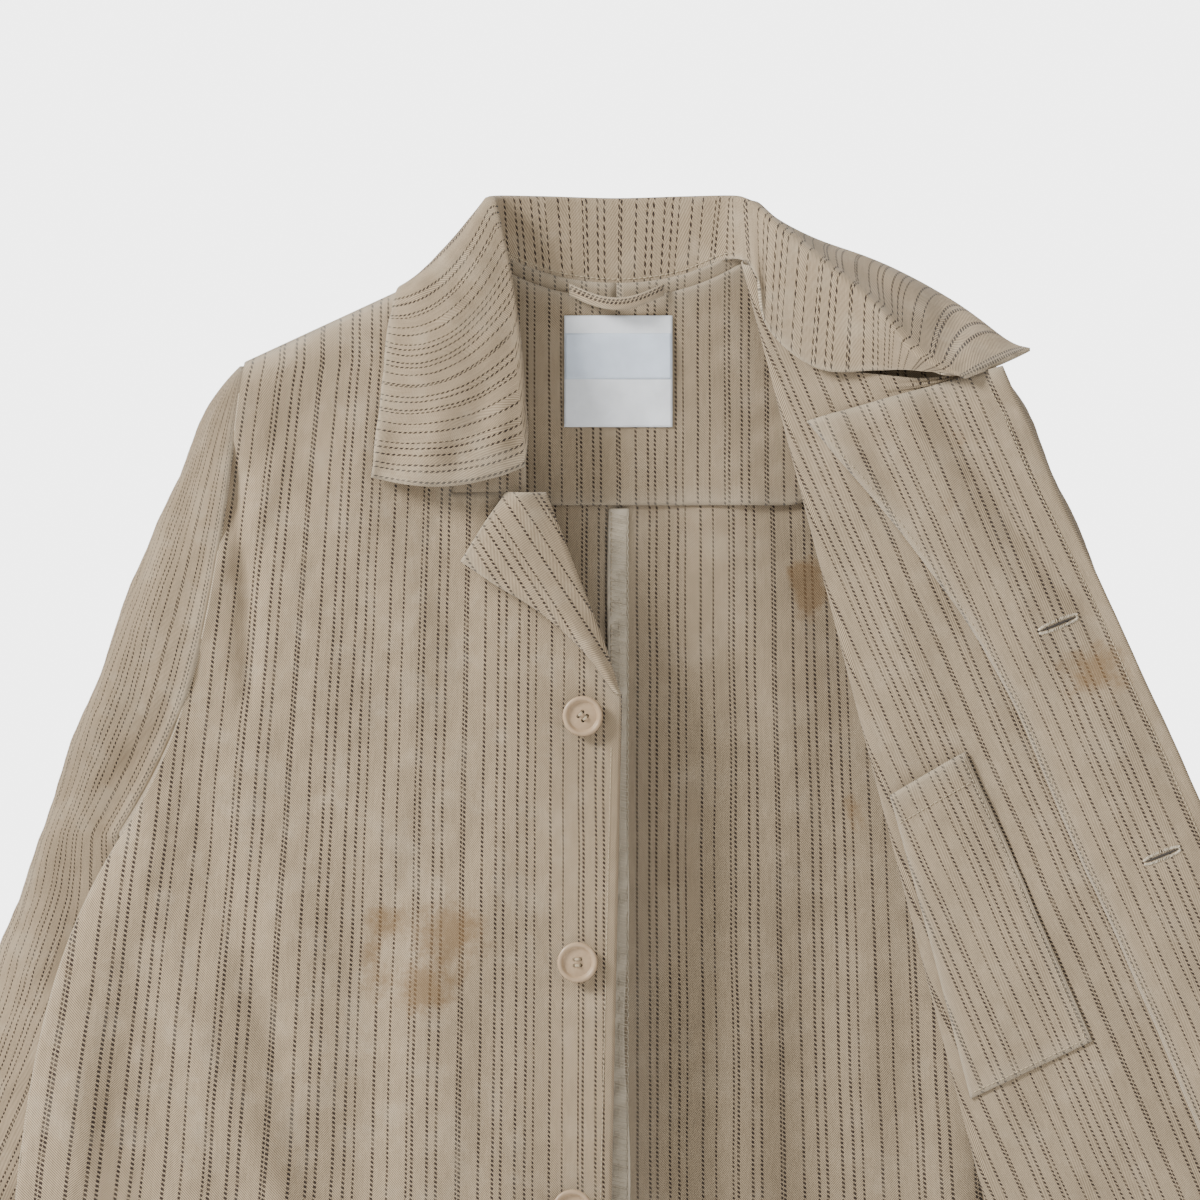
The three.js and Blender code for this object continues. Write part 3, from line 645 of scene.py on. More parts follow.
@dataclass(frozen=True)
class StripeSet:
    """Where the dashed stripes lie across one repeat of the cloth, in millimetres."""

    repeat: float = 89.4
    places: tuple[float, ...] = (2, 3.7, 13.5, 20.8, 24.9, 32.3, 37.5, 42, 50.8, 58, 67, 69.6, 77, 81.5)
    width: float = 1.2
    dash: float = 2.7
    dash_share: float = 0.6
    rib: float = 1.5
    rib_slope: float = 1.45

    def group(self) -> bpy.types.NodeTree:
        """The weave: herringbone ribs that turn at each dashed stripe."""
        group, g, source, out = new_group(
            "striped_herringbone",
            [
                ("Cloth", "NodeSocketVector", None),
                ("Ground", "NodeSocketColor", (0.5, 0.42, 0.29, 1)),
                ("Rib", "NodeSocketColor", (0.3, 0.24, 0.16, 1)),
                ("Stripe", "NodeSocketColor", (0.05, 0.03, 0.02, 1)),
                ("Stripe Strength", "NodeSocketFloat", 0.9),
            ],
            [("Color", "NodeSocketColor"), ("Height", "NodeSocketFloat"), ("Thread", "NodeSocketFloat")],
        )
        scaled = g.node("ShaderNodeVectorMath", operation="SCALE")
        g.put(source.outputs["Cloth"], scaled.inputs[0])
        scaled.inputs["Scale"].default_value = 1000
        wander = g.noise(scaled.outputs[0], 0.011, 1)
        axes = g.node("ShaderNodeSeparateXYZ")
        g.put(scaled.outputs[0], axes.inputs[0])
        across = g.math("ADD", axes.outputs["X"], g.math("MULTIPLY", g.math("SUBTRACT", wander, 0.5), 2.2))
        along = axes.outputs["Y"]
        place = g.math("FRACT", g.math("DIVIDE", across, self.repeat))
        stops, turns = [(0.0, 0.0)], [(0.0, 0.0)]
        for k, at in enumerate(self.places):
            stops.append(((at - self.width / 2) / self.repeat, 1.0))
            stops.append(((at + self.width / 2) / self.repeat, 0.0))
            turns.append((at / self.repeat, float((k + 1) % 2)))
        stripe = g.steps(place, stops)
        side = g.math("SUBTRACT", g.math("MULTIPLY", g.steps(place, turns), 2.0), 1.0)
        lean = g.math("MULTIPLY", g.math("MULTIPLY", across, side), self.rib_slope)
        phase = g.math("DIVIDE", g.math("SUBTRACT", along, lean), self.rib)
        rib = g.math("MULTIPLY_ADD", g.math("SINE", g.math("MULTIPLY", phase, 2 * math.pi)), 0.5, 0.5)
        beat = g.math("DIVIDE", g.math("ADD", along, g.math("MULTIPLY", across, 0.7)), self.dash)
        dash = g.math("LESS_THAN", g.math("FRACT", beat), self.dash_share)
        stretched = g.node("ShaderNodeMapping")
        g.put(scaled.outputs[0], stretched.inputs["Vector"])
        stretched.inputs["Scale"].default_value = (1.6, 0.16, 1)
        slub = g.noise(stretched.outputs[0], 0.5, 3, 0.6)
        faded = g.span(g.noise(scaled.outputs[0], 0.11, 2), 0.3, 0.5, 0.75, 1.0)
        thread = g.math("MULTIPLY", g.math("MULTIPLY", stripe, dash), faded)
        ground = g.mix(g.math("MULTIPLY", rib, 0.85), source.outputs["Rib"], source.outputs["Ground"])
        shade = g.span(slub, 0.25, 0.75, 0.86, 1.12)
        tinted = g.node("ShaderNodeVectorMath", operation="SCALE")
        g.put(ground, tinted.inputs[0])
        g.put(shade, tinted.inputs["Scale"])
        color = g.mix(
            g.math("MULTIPLY", thread, source.outputs["Stripe Strength"]), tinted.outputs[0],
            source.outputs["Stripe"]
        )
        g.put(color, out.inputs["Color"])
        fuzz = g.noise(scaled.outputs[0], 1.7, 2)
        g.put(
            g.math("ADD", g.math("MULTIPLY", rib, 0.7), g.math("MULTIPLY", fuzz, 0.5)),
            out.inputs["Height"]
        )
        g.put(thread, out.inputs["Thread"])
        return group


def worn_group() -> bpy.types.NodeTree:
    """Age and dirt on cloth: broad fading, rust-brown stains and grey rubbed edges."""
    group, g, source, out = new_group(
        "worn_cloth",
        [
            ("Color", "NodeSocketColor", (0.5, 0.5, 0.5, 1)),
            ("Soil", "NodeSocketFloat", 0.0),
            ("Rim", "NodeSocketFloat", 0.0),
            ("Fade", "NodeSocketFloat", 0.5),
        ],
        [("Color", "NodeSocketColor"), ("Mottle", "NodeSocketFloat")],
    )
    place = g.node("ShaderNodeTexCoord").outputs["Object"]
    broad = g.noise(place, 9, 3, 0.55)
    close = g.noise(place, 46, 4, 0.65)
    level = g.math("ADD", g.span(broad, 0.3, 0.7, 0.93, 1.06), g.span(close, 0.3, 0.7, -0.035, 0.035))
    faded = g.node("ShaderNodeVectorMath", operation="SCALE")
    g.put(source.outputs["Color"], faded.inputs[0])
    g.put(level, faded.inputs["Scale"])
    pale = g.mix(
        g.math("MULTIPLY", g.span(close, 0.5, 0.72), g.math("MULTIPLY", source.outputs["Fade"], 0.22)),
        faded.outputs[0], (0.62, 0.56, 0.45, 1)
    )
    blot = g.noise(place, 95, 5, 0.75)
    edge = g.span(
        g.math("ADD", g.math("MULTIPLY", source.outputs["Soil"], 0.75), g.math("SUBTRACT", blot, 0.78)),
        0.0,
        0.3,
    )
    stained = g.mix(g.math("MULTIPLY", edge, 0.62), pale, (0.15, 0.085, 0.033, 1))
    rubbed = g.mix(g.math("MULTIPLY", source.outputs["Rim"], 0.16), stained, (0.66, 0.6, 0.48, 1))
    g.put(rubbed, out.inputs["Color"])
    g.put(close, out.inputs["Mottle"])
    return group


def thread_group() -> bpy.types.NodeTree:
    """Twisted or plainly woven thread, for tape, label and sewing."""
    group, g, source, out = new_group(
        "fine_thread",
        [
            ("Color", "NodeSocketColor", (0.8, 0.8, 0.8, 1)), ("Scale", "NodeSocketFloat", 1.0),
            ("Contrast", "NodeSocketFloat", 0.2)
        ],
        [("Color", "NodeSocketColor"), ("Height", "NodeSocketFloat")],
    )
    place = g.node("ShaderNodeTexCoord").outputs["Object"]
    scaled = g.node("ShaderNodeVectorMath", operation="SCALE")
    g.put(place, scaled.inputs[0])
    g.put(g.math("MULTIPLY", source.outputs["Scale"], 1000.0), scaled.inputs["Scale"])
    axes = g.node("ShaderNodeSeparateXYZ")
    g.put(scaled.outputs[0], axes.inputs[0])
    a = g.math("SINE", g.math("MULTIPLY", g.math("ADD", axes.outputs["X"], axes.outputs["Y"]), 9.0))
    b = g.math("SINE", g.math("MULTIPLY", g.math("SUBTRACT", axes.outputs["Z"], axes.outputs["Y"]), 9.0))
    weave = g.math("MULTIPLY_ADD", g.math("MULTIPLY", a, b), 0.5, 0.5)
    grime = g.noise(scaled.outputs[0], 0.08, 3)
    level = g.math(
        "MULTIPLY_ADD", g.math("SUBTRACT", weave, 0.5), source.outputs["Contrast"],
        g.span(grime, 0.3, 0.7, 0.9, 1.05)
    )
    toned = g.node("ShaderNodeVectorMath", operation="SCALE")
    g.put(source.outputs["Color"], toned.inputs[0])
    g.put(level, toned.inputs["Scale"])
    g.put(toned.outputs[0], out.inputs["Color"])
    g.put(weave, out.inputs["Height"])
    return group


def material_of(name: str) -> tuple[bpy.types.Material, Graph, bpy.types.Node]:
    """A new material, its graph and its Principled shader."""
    material = bpy.data.materials.new(name)
    material.use_nodes = True
    graph = Graph(material.node_tree)
    return material, graph, material.node_tree.nodes["Principled BSDF"]


def bumped(
    g: Graph, shader: bpy.types.Node, height: bpy.types.NodeSocket, strength: float, far: float
) -> None:
    """Gives a shader a bumped normal of that strength and depth in metres."""
    bump = g.node("ShaderNodeBump")
    bump.inputs["Strength"].default_value = strength
    bump.inputs["Distance"].default_value = far
    g.put(height, bump.inputs["Height"])
    g.put(bump.outputs["Normal"], shader.inputs["Normal"])


@dataclass(frozen=True)
class TwillFinish:
    """Striped cotton twill."""

    name: str
    ground: Color
    rib: Color
    stripe: Color
    stripe_strength: float
    fade: float

    def make(self, weave: bpy.types.NodeTree, worn: bpy.types.NodeTree) -> bpy.types.Material:
        """Builds the material from the weave and wear groups."""
        material, g, shader = material_of(self.name)
        uv = g.node("ShaderNodeUVMap", uv_map=UV_NAME)
        cloth = g.node("ShaderNodeGroup", node_tree=weave)
        g.put(uv.outputs["UV"], cloth.inputs["Cloth"])
        cloth.inputs["Ground"].default_value = self.ground
        cloth.inputs["Rib"].default_value = self.rib
        cloth.inputs["Stripe"].default_value = self.stripe
        cloth.inputs["Stripe Strength"].default_value = self.stripe_strength
        age = g.node("ShaderNodeGroup", node_tree=worn)
        g.put(cloth.outputs["Color"], age.inputs["Color"])
        age.inputs["Fade"].default_value = self.fade
        for label in ("soil", "rim"):
            value = g.node("ShaderNodeAttribute", attribute_name=label)
            g.put(value.outputs["Fac"], age.inputs[label.capitalize()])
        g.put(age.outputs["Color"], shader.inputs["Base Color"])
        g.put(g.span(age.outputs["Mottle"], 0.2, 0.8, 0.86, 0.97), shader.inputs["Roughness"])
        shader.inputs["Specular IOR Level"].default_value = 0.22
        shader.inputs["Sheen Weight"].default_value = 0.12
        shader.inputs["Sheen Roughness"].default_value = 0.5
        bumped(g, shader, cloth.outputs["Height"], 0.55, 0.0005)
        return material


@dataclass(frozen=True)
class ThreadFinish:
    """Sewing thread, tape or a woven label."""

    name: str
    color: Color
    contrast: float
    scale: float
    roughness: float

    def make(self, threads: bpy.types.NodeTree) -> bpy.types.Material:
        """Builds the material from the thread group."""
        material, g, shader = material_of(self.name)
        weave = g.node("ShaderNodeGroup", node_tree=threads)
        weave.inputs["Color"].default_value = self.color
        weave.inputs["Scale"].default_value = self.scale
        weave.inputs["Contrast"].default_value = self.contrast
        g.put(weave.outputs["Color"], shader.inputs["Base Color"])
        g.put(
            g.span(weave.outputs["Height"], 0, 1, self.roughness, self.roughness - 0.1),
            shader.inputs["Roughness"]
        )
        shader.inputs["Sheen Weight"].default_value = 0.1
        bumped(g, shader, weave.outputs["Height"], 0.4, 0.0003)
        return material


@dataclass(frozen=True)
class ButtonFinish:
    """Cast resin with a faint horn-like cloud."""

    name: str = "button_resin"
    light: Color = (0.40, 0.285, 0.175, 1)
    dark: Color = (0.31, 0.21, 0.12, 1)

    def make(self) -> bpy.types.Material:
        """Builds the material."""
        material, g, shader = material_of(self.name)
        place = g.node("ShaderNodeTexCoord").outputs["Object"]
        cloud = g.noise(place, 70, 4, 0.6)
        speck = g.noise(place, 900, 2, 0.5)
        color = g.mix(g.span(cloud, 0.35, 0.65), self.dark, self.light)
        color = g.mix(g.math("MULTIPLY", g.span(speck, 0.55, 0.75), 0.2), color, (0.25, 0.17, 0.1, 1))
        g.put(color, shader.inputs["Base Color"])
        g.put(g.span(speck, 0.3, 0.7, 0.34, 0.5), shader.inputs["Roughness"])
        bumped(g, shader, speck, 0.12, 0.0002)
        return material


class Wardrobe:
    """Every finish of the jacket."""

    def __init__(self) -> None:
        """Builds the shared groups, then each material."""
        weave, worn, threads = StripeSet().group(), worn_group(), thread_group()
        stripe = (0.032, 0.021, 0.015, 1)
        self.outer = TwillFinish(
            "twill_outer", (0.52, 0.405, 0.265, 1), (0.14, 0.10, 0.06, 1), stripe, 1.0, 0.5
        ).make(weave, worn)
        self.inner = TwillFinish(
            "twill_inner", (0.46, 0.36, 0.235, 1), (0.14, 0.102, 0.064, 1), stripe, 1.0, 0.3
        ).make(weave, worn)
        self.thread = ThreadFinish("sewing_thread", (0.46, 0.37, 0.24, 1), 0.3, 1.6, 0.8).make(threads)
        self.pale_thread = ThreadFinish(
            "button_thread_cotton", (0.58, 0.50, 0.37, 1), 0.35, 1.6, 0.75
        ).make(threads)
        self.tape = ThreadFinish("seam_tape", (0.50, 0.43, 0.325, 1), 0.35, 0.7, 0.9).make(threads)
        self.label = ThreadFinish("label_satin", (0.72, 0.74, 0.76, 1), 0.06, 0.9, 0.6).make(threads)
        self.label_band = ThreadFinish("label_band", (0.60, 0.67, 0.76, 1), 0.06, 0.9, 0.6).make(threads)
        self.label_thread = ThreadFinish("label_thread", (0.78, 0.80, 0.82, 1), 0.2, 1.6, 0.7).make(threads)
        self.shadow = ThreadFinish("slit_shadow", (0.035, 0.027, 0.02, 1), 0.2, 1.2, 0.95).make(threads)
        self.button = ButtonFinish().make()


class Side(Enum):
    """A side of the wearer, with its sign along X."""

    LEFT = 1
    RIGHT = -1

    @property
    def label(self) -> str:
        """The side's name, as used in the names of pieces."""
        return self.name.lower()


# ---- how the cloth hangs -------------------------------------------------------------------------

FRONT_STAINS = (
    Spot(-98, -34, -388, 26, 24, 0.85),
    Spot(-116, -34, -424, 24, 18, 0.8),
    Spot(-146, -34, -398, 9, 34, 0.7),
    Spot(-133, -34, -381, 14, 9, 0.55),
    Spot(-132, -26, -118, 24, 8, 0.55),
    Spot(-92, -28, -120, 22, 6, 0.4),
)
BACK_STAINS = (
    Spot(117, 12, -186, 11, 22, 1.1), Spot(144, 14, -320, 9, 14, 0.8), Spot(108, 12, -175, 8, 6, 0.8)
)
TURNED_STAINS = (
    Spot(280, -80, -232, 26, 20, 0.8),
    Spot(205, -50, -94, 20, 8, 0.45),
    Spot(196, -50, -135, 10, 10, 0.45),
    Spot(262, -60, -560, 26, 22, 0.5),
)


def hang(x: Array, z: Array, seed: int) -> Array:
    """Depth of the soft folds that the body's cloth hangs in, in metres.

    Args:
        x: sideways, in metres.
        z: height, in metres.
        seed: picks the small unevenness.

    Returns:
        How far the cloth stands out.
    """
    fall = smooth((-0.20 - z) / 0.45)
    across = BODY.grain(x, z)[..., 0]
    waves = 0.0055 * np.sin(across * 62 + 1.1 + 1.5 * z) + 0.0028 * np.sin(across * 121 + 0.4 - 3 * z)
    uneven = 0.0017 * ripple(x, z * 0.5, 0.07, seed) + 0.0004 * ripple(x, z, 0.021, seed + 1)
    edge = smooth((BODY.half_width(z) - np.abs(x)) / 0.05)
    below = smooth((BODY.top_line(x) - z) / 0.06)
    return (waves * fall * edge + uneven) * below


RIGHT_FOLDS = (
    Fold((-238, -88), (-220, -250), 7, -4.4, 6),
    Fold((-262, -215), (-200, -110), 10, 3.2),
    Fold((-285, -320), (-205, -540), 15, 5.2, -14),
    Fold((-255, -310), (-170, -620), 14, -4.6, 10),
    Fold((-318, -430), (-300, -770), 22, 5.0),
    Fold((-268, -470), (-262, -780), 18, -3.5),
    Fold((-118, -150), (-155, -400), 13, 2.2, 10),
    Fold((-60, -300), (-95, -540), 12, 2.0, -8),
)
LEFT_FOLDS = tuple(
    Fold((-f.start[0], f.start[1]), (-f.end[0], f.end[1]), f.width, f.rise, -f.bow)
    for f in RIGHT_FOLDS[:6]
)


class RightFront:
    """The wearer's right front: shoulder and side, the part with the buttons, facing and lapel."""

    CUT = -0.127
    BREAK = -0.247
    TOP_ROWS, LAPEL_ROWS, LOWER_ROWS = 28, 30, 110
    SIDE_STEPS, PANEL_STEPS = 56, 34
    EDGE_RADIUS = 1.5 * MM
    ROLL_RADIUS = 2.6 * MM
    FACING = 78 * MM
    POCKET_Z, POCKET_INSET, POCKET_WIDTH = (-0.572, -0.737), 0.050, 0.165

    def __init__(self) -> None:
        """Works out the height of every row at the fold line and at the side."""
        rows = (self.TOP_ROWS, self.LAPEL_ROWS, self.LOWER_ROWS)
        marks = (BODY.neck_rise * MM - 0.0001, self.CUT, self.BREAK, BODY.hem)
        heights = [np.linspace(a, b, n, endpoint=False) for a, b, n in zip(marks, marks[1:], rows)]
        self.inner_z = np.concatenate([*heights, [marks[-1]]])
        self.total = sum(rows)
        shoulder = float(BODY.top_line(BODY.shoulder_half * MM)) - 0.0001
        self.outer_z = np.linspace(shoulder, BODY.hem, self.total + 1)

    @staticmethod
    def hinge_x(z: Array) -> Array:
        """The line that the front swings open about."""
        return lerp(-0.100, -0.290, (-0.130 - z) / 0.660)

    @staticmethod
    def neck_x(z: Array) -> Array:
        """The neck seam."""
        return lerp(-0.075, -0.054, clamp((0.020 - z) / 0.132) ** 1.4)

    @staticmethod
    def roll_x(z: Array) -> Array:
        """Where the lapel rolls over."""
        return lerp(-0.049, 0.001, clamp((-0.118 - z) / 0.129))

    @classmethod
    def edge_x(cls, z: Array) -> Array:
        """The front edge, which leans in a little towards the hem."""
        return np.where(z > cls.BREAK, cls.roll_x(z), 0.001 - 0.021 * (cls.BREAK - z))

    def drape(self, x: Array, z: Array) -> Array:
        """How far the cloth stands forward of the plain surface."""
        calm = smooth((self.edge_x(z) - x + 0.01) / 0.12) * 0.85 + 0.15
        return hang(x, z, 11) * calm + creased(RIGHT_FOLDS, x, z)

    def at(self, x: Array, z: Array, lift: Array | float = 0.0) -> Array:
        """A point of the hanging cloth; lift moves it towards the wearer."""
        return stack(x, BODY.front_y(x, z) - self.drape(x, z) + lift, z)

    def _rows(self, v: Array) -> tuple[Array, Array]:
        """Heights at the fold line and at the side for row share v."""
        k = v * self.total
        index = np.arange(self.total + 1)
        return np.interp(k, index, self.inner_z), np.interp(k, index, self.outer_z)

    def side(self, u: Array, v: Array) -> Array:
        """From the fold line, or the neck seam, to the side seam."""
        inner, outer = self._rows(v)
        share = 1 - (1 - u) ** 2
        start = np.where(
            inner > self.CUT + 1e-6, np.minimum(self.hinge_x(inner), self.neck_x(inner)),
            self.hinge_x(inner)
        )
        z = lerp(inner, outer, share)
        x = lerp(start, -BODY.half_width(z), share)
        return self.at(x, np.minimum(z, BODY.top_line(x) - 0.0001))

    def below_cut(self, v: Array) -> Array:
        """Heights for row share v of the part under the collar leaf."""
        first = self.TOP_ROWS
        return np.interp(first + v * (self.total - first), np.arange(self.total + 1), self.inner_z)

    def below_break(self, v: Array) -> Array:
        """Heights for row share v of the part under the lapel."""
        first = self.TOP_ROWS + self.LAPEL_ROWS
        return np.interp(first + v * (self.total - first), np.arange(self.total + 1), self.inner_z)

    def panel(self, u: Array, v: Array) -> Array:
        """From the fold line to the lapel's roll and the front edge."""
        z = self.below_cut(v)
        return self.at(lerp(self.hinge_x(z), self.edge_x(z), u), z)

    def facing(self, u: Array, v: Array) -> Array:
        """Round the front edge and back along the inside."""
        z = self.below_break(v)
        turn = clamp(u / 0.15) * math.pi
        flat = clamp((u - 0.15) / 0.85)
        edge = self.edge_x(z)
        p = self.at(edge - flat * self.FACING, z)
        p[..., 0] += self.EDGE_RADIUS * np.sin(turn)
        p[..., 1] += self.EDGE_RADIUS * (1 - np.cos(turn))
        return p

    NOTCH = Curve([(-66, 0, -127), (-80, 0, -147), (-93, 0, -168)])
    LONG_EDGE = Curve([(-93, 0, -168), (-74, 0, -181), (-48, 0, -197), (-20, 0, -221), (-1, 0, -246)])

    def lapel(self, u: Array, v: Array) -> Array:
        """From the roll to the lapel's free edge, lying back on the panel."""
        first = self.TOP_ROWS
        k = first + v * self.LAPEL_ROWS
        z0 = np.interp(k, np.arange(self.total + 1), self.inner_z)
        turn = clamp(u / 0.16) * math.pi
        flat = clamp((u - 0.16) / 0.84)
        corner = 0.3
        top = self.NOTCH(clamp(v / corner))
        long = self.LONG_EDGE(clamp((v - corner) / (1 - corner)))
        edge = np.where((v < corner)[..., None], top, long)
        x0 = self.roll_x(z0)
        fade = clamp((1 - v) / 0.25)
        x = lerp(x0, edge[..., 0], flat)
        z = lerp(z0, edge[..., 2], flat)
        radius = self.ROLL_RADIUS * (0.25 + 0.75 * smooth(fade))
        p = self.at(x, z)
        p[..., 0] += radius * np.sin(turn)
        billow = (
            0.0042 * np.sin(math.pi * np.minimum(flat * 1.05, 1))
            + 0.0035 * flat**2 * smooth((0.75 - v) / 0.5)
        )
        p[..., 1] -= radius * (1 - np.cos(turn)) + billow * (0.3 + 0.7 * smooth(fade))
        return p

    def _grain(self, surface: Surface) -> Surface:
        """Cloth coordinates of one of the front's surfaces, from its place on the body."""

        def coordinates(u: Array, v: Array) -> Array:
            """Cloth coordinates at u and v."""
            p = surface(u, v)
            return BODY.grain(p[..., 0], p[..., 2])

        return coordinates

    def _lapel_grain(self, u: Array, v: Array) -> Array:
        """Cloth coordinates on the lapel, whose stripes run with its long edge."""
        p = self.lapel(u, v)
        angle = math.radians(-33)
        x, z = p[..., 0], p[..., 2]
        return np.stack(
            [x * math.cos(angle) - z * math.sin(angle), x * math.sin(angle) + z * math.cos(angle)], -1
        )

    def build(self, wardrobe: Wardrobe) -> None:
        """Makes the front, its pocket and its sewing."""
        patches = [
            Patch.of(self.side, self.SIDE_STEPS, self.total, self._grain(self.side)),
            Patch.of(self.panel, self.PANEL_STEPS, self.total - self.TOP_ROWS, self._grain(self.panel)),
            Patch.of(self.facing, 26, self.LOWER_ROWS, self._grain(self.facing)),
        ]
        cloth = Cloth("front_right", patches, 1.5, FRONT_STAINS)
        front = cloth.dress(
            wardrobe.outer, "twill", "right_front_side", "right_front_panel", "right_facing"
        )
        self.bend(front)
        lapel = Cloth(
            "lapel_right", [Patch.of(self.lapel, 30, self.LAPEL_ROWS * 2, self._lapel_grain)], 2.0,
            FRONT_STAINS
        )
        self.bend(lapel.dress(wardrobe.outer, "twill", "right_lapel"))
        self._neck_corner(wardrobe)
        self._pocket(wardrobe)
        self._sewing(wardrobe)

    def bend(self, piece: bpy.types.Object) -> None:
        """Bakes the piece's transform into its mesh."""
        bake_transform(piece)

    def _neck_corner(self, wardrobe: Wardrobe) -> None:
        """The cloth under the collar leaf, between the fold line's upper end and the neck seam."""

        def corner(u: Array, v: Array) -> Array:
            """From the fold line to the neck seam."""
            z = lerp(-0.028, self.CUT - 0.004, v)
            return self.at(
                lerp(self.hinge_x(z), np.maximum(self.neck_x(z), self.hinge_x(z) + 0.001), u), z, 0.0004
            )

        cloth = Cloth("front_right_neck", [Patch.of(corner, 12, 22, self._grain(corner))], 1.5)
        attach(cloth.dress(wardrobe.outer, "twill"), "body")

    def pocket(self, u: Array, v: Array) -> Array:
        """The hip pocket, whose mouth stands a little open."""
        z = lerp(*self.POCKET_Z, v)
        inner = self.edge_x(z) - self.POCKET_INSET
        round_off = 0.012 * clamp((v - 0.88) / 0.12) ** 2
        x = lerp(inner - self.POCKET_WIDTH + round_off, inner - round_off, u)
        p = self.at(x, z)
        rise = np.sqrt(np.sin(math.pi * clamp(u * 0.98 + 0.01))) * np.sqrt(np.maximum(0, 1 - v**4))
        p[..., 1] -= 0.0016 + 0.0062 * rise + 0.0006 * ripple(x, z, 0.05, 5)
        return p

    def _pocket(self, wardrobe: Wardrobe) -> None:
        """Makes the hip pocket and its stitching."""
        cloth = Cloth("hip_pocket_right", [Patch.of(self.pocket, 40, 40, self._grain(self.pocket))], 1.4)
        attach(cloth.dress(wardrobe.outer, "twill", "right_hip_pocket"), "right_front")
        rows = Stitching("pocket_stitches_right")
        for inset in (0.025, 0.06):
            rows.row_on(self.pocket, (inset, 0.02), (inset, 0.975 - inset), 0.0009)
            rows.row_on(self.pocket, (1 - inset, 0.02), (1 - inset, 0.975 - inset), 0.0009)
            rows.row_on(self.pocket, (inset, 0.975 - inset), (1 - inset, 0.975 - inset), 0.0009)
        rows.row_on(self.pocket, (0.02, 0.13), (0.98, 0.13), 0.0009)
        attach(rows.make(wardrobe.thread), "right_front")

    def _sewing(self, wardrobe: Wardrobe) -> None:
        """Makes the rows of stitches along the edges of the front and the lapel."""
        rows = Stitching("front_stitches_right")
        face = -0.0009
        rows.row_on(self.panel, (0.975, 0.26), (0.985, 0.985), face, 200)
        rows.row_on(self.panel, (0.02, 0.97), (0.98, 0.97), face)
        rows.row_on(self.lapel, (0.955, 0.33), (0.93, 0.93), -0.0012)
        rows.row_on(self.lapel, (0.955, 0.02), (0.955, 0.29), -0.0012)
        self.bend(rows.make(wardrobe.thread))


FOLD_TOP = np.array([0.074, -0.0155, 0.020])
FOLD_DOWN = np.array([0.249679, -0.03612, -0.967655])
AWAY = np.array([0.909931, -0.33303, 0.247216])
FACE = np.array([-0.331188, -0.942224, -0.050284])
FOLD_LENGTH = 0.837075

TURNED_FOLDS = (
    Fold((90, 113), (150, 268), 7, -5.4, 5),
    Fold((49, 131), (110, 350), 9, -4.6, 6),
    Fold((112, 118), (182, 290), 10, 4.6, -6),
    Fold((68, 118), (124, 290), 11, 4.6),
    Fold((24, 110), (54, 350), 12, 3.6, 4),
    Fold((150, 210), (196, 440), 14, -4.0, 8),
    Fold((60, 420), (150, 800), 22, 5.5, -10),
    Fold((110, 430), (205, 770), 20, -5.0, 10),
    Fold((20, 560), (60, 820), 18, -2.4),
    Fold((128, 112), (160, 150), 6, 2.2, 3),
    Fold((100, 106), (136, 140), 5, -2.0, 3),
)


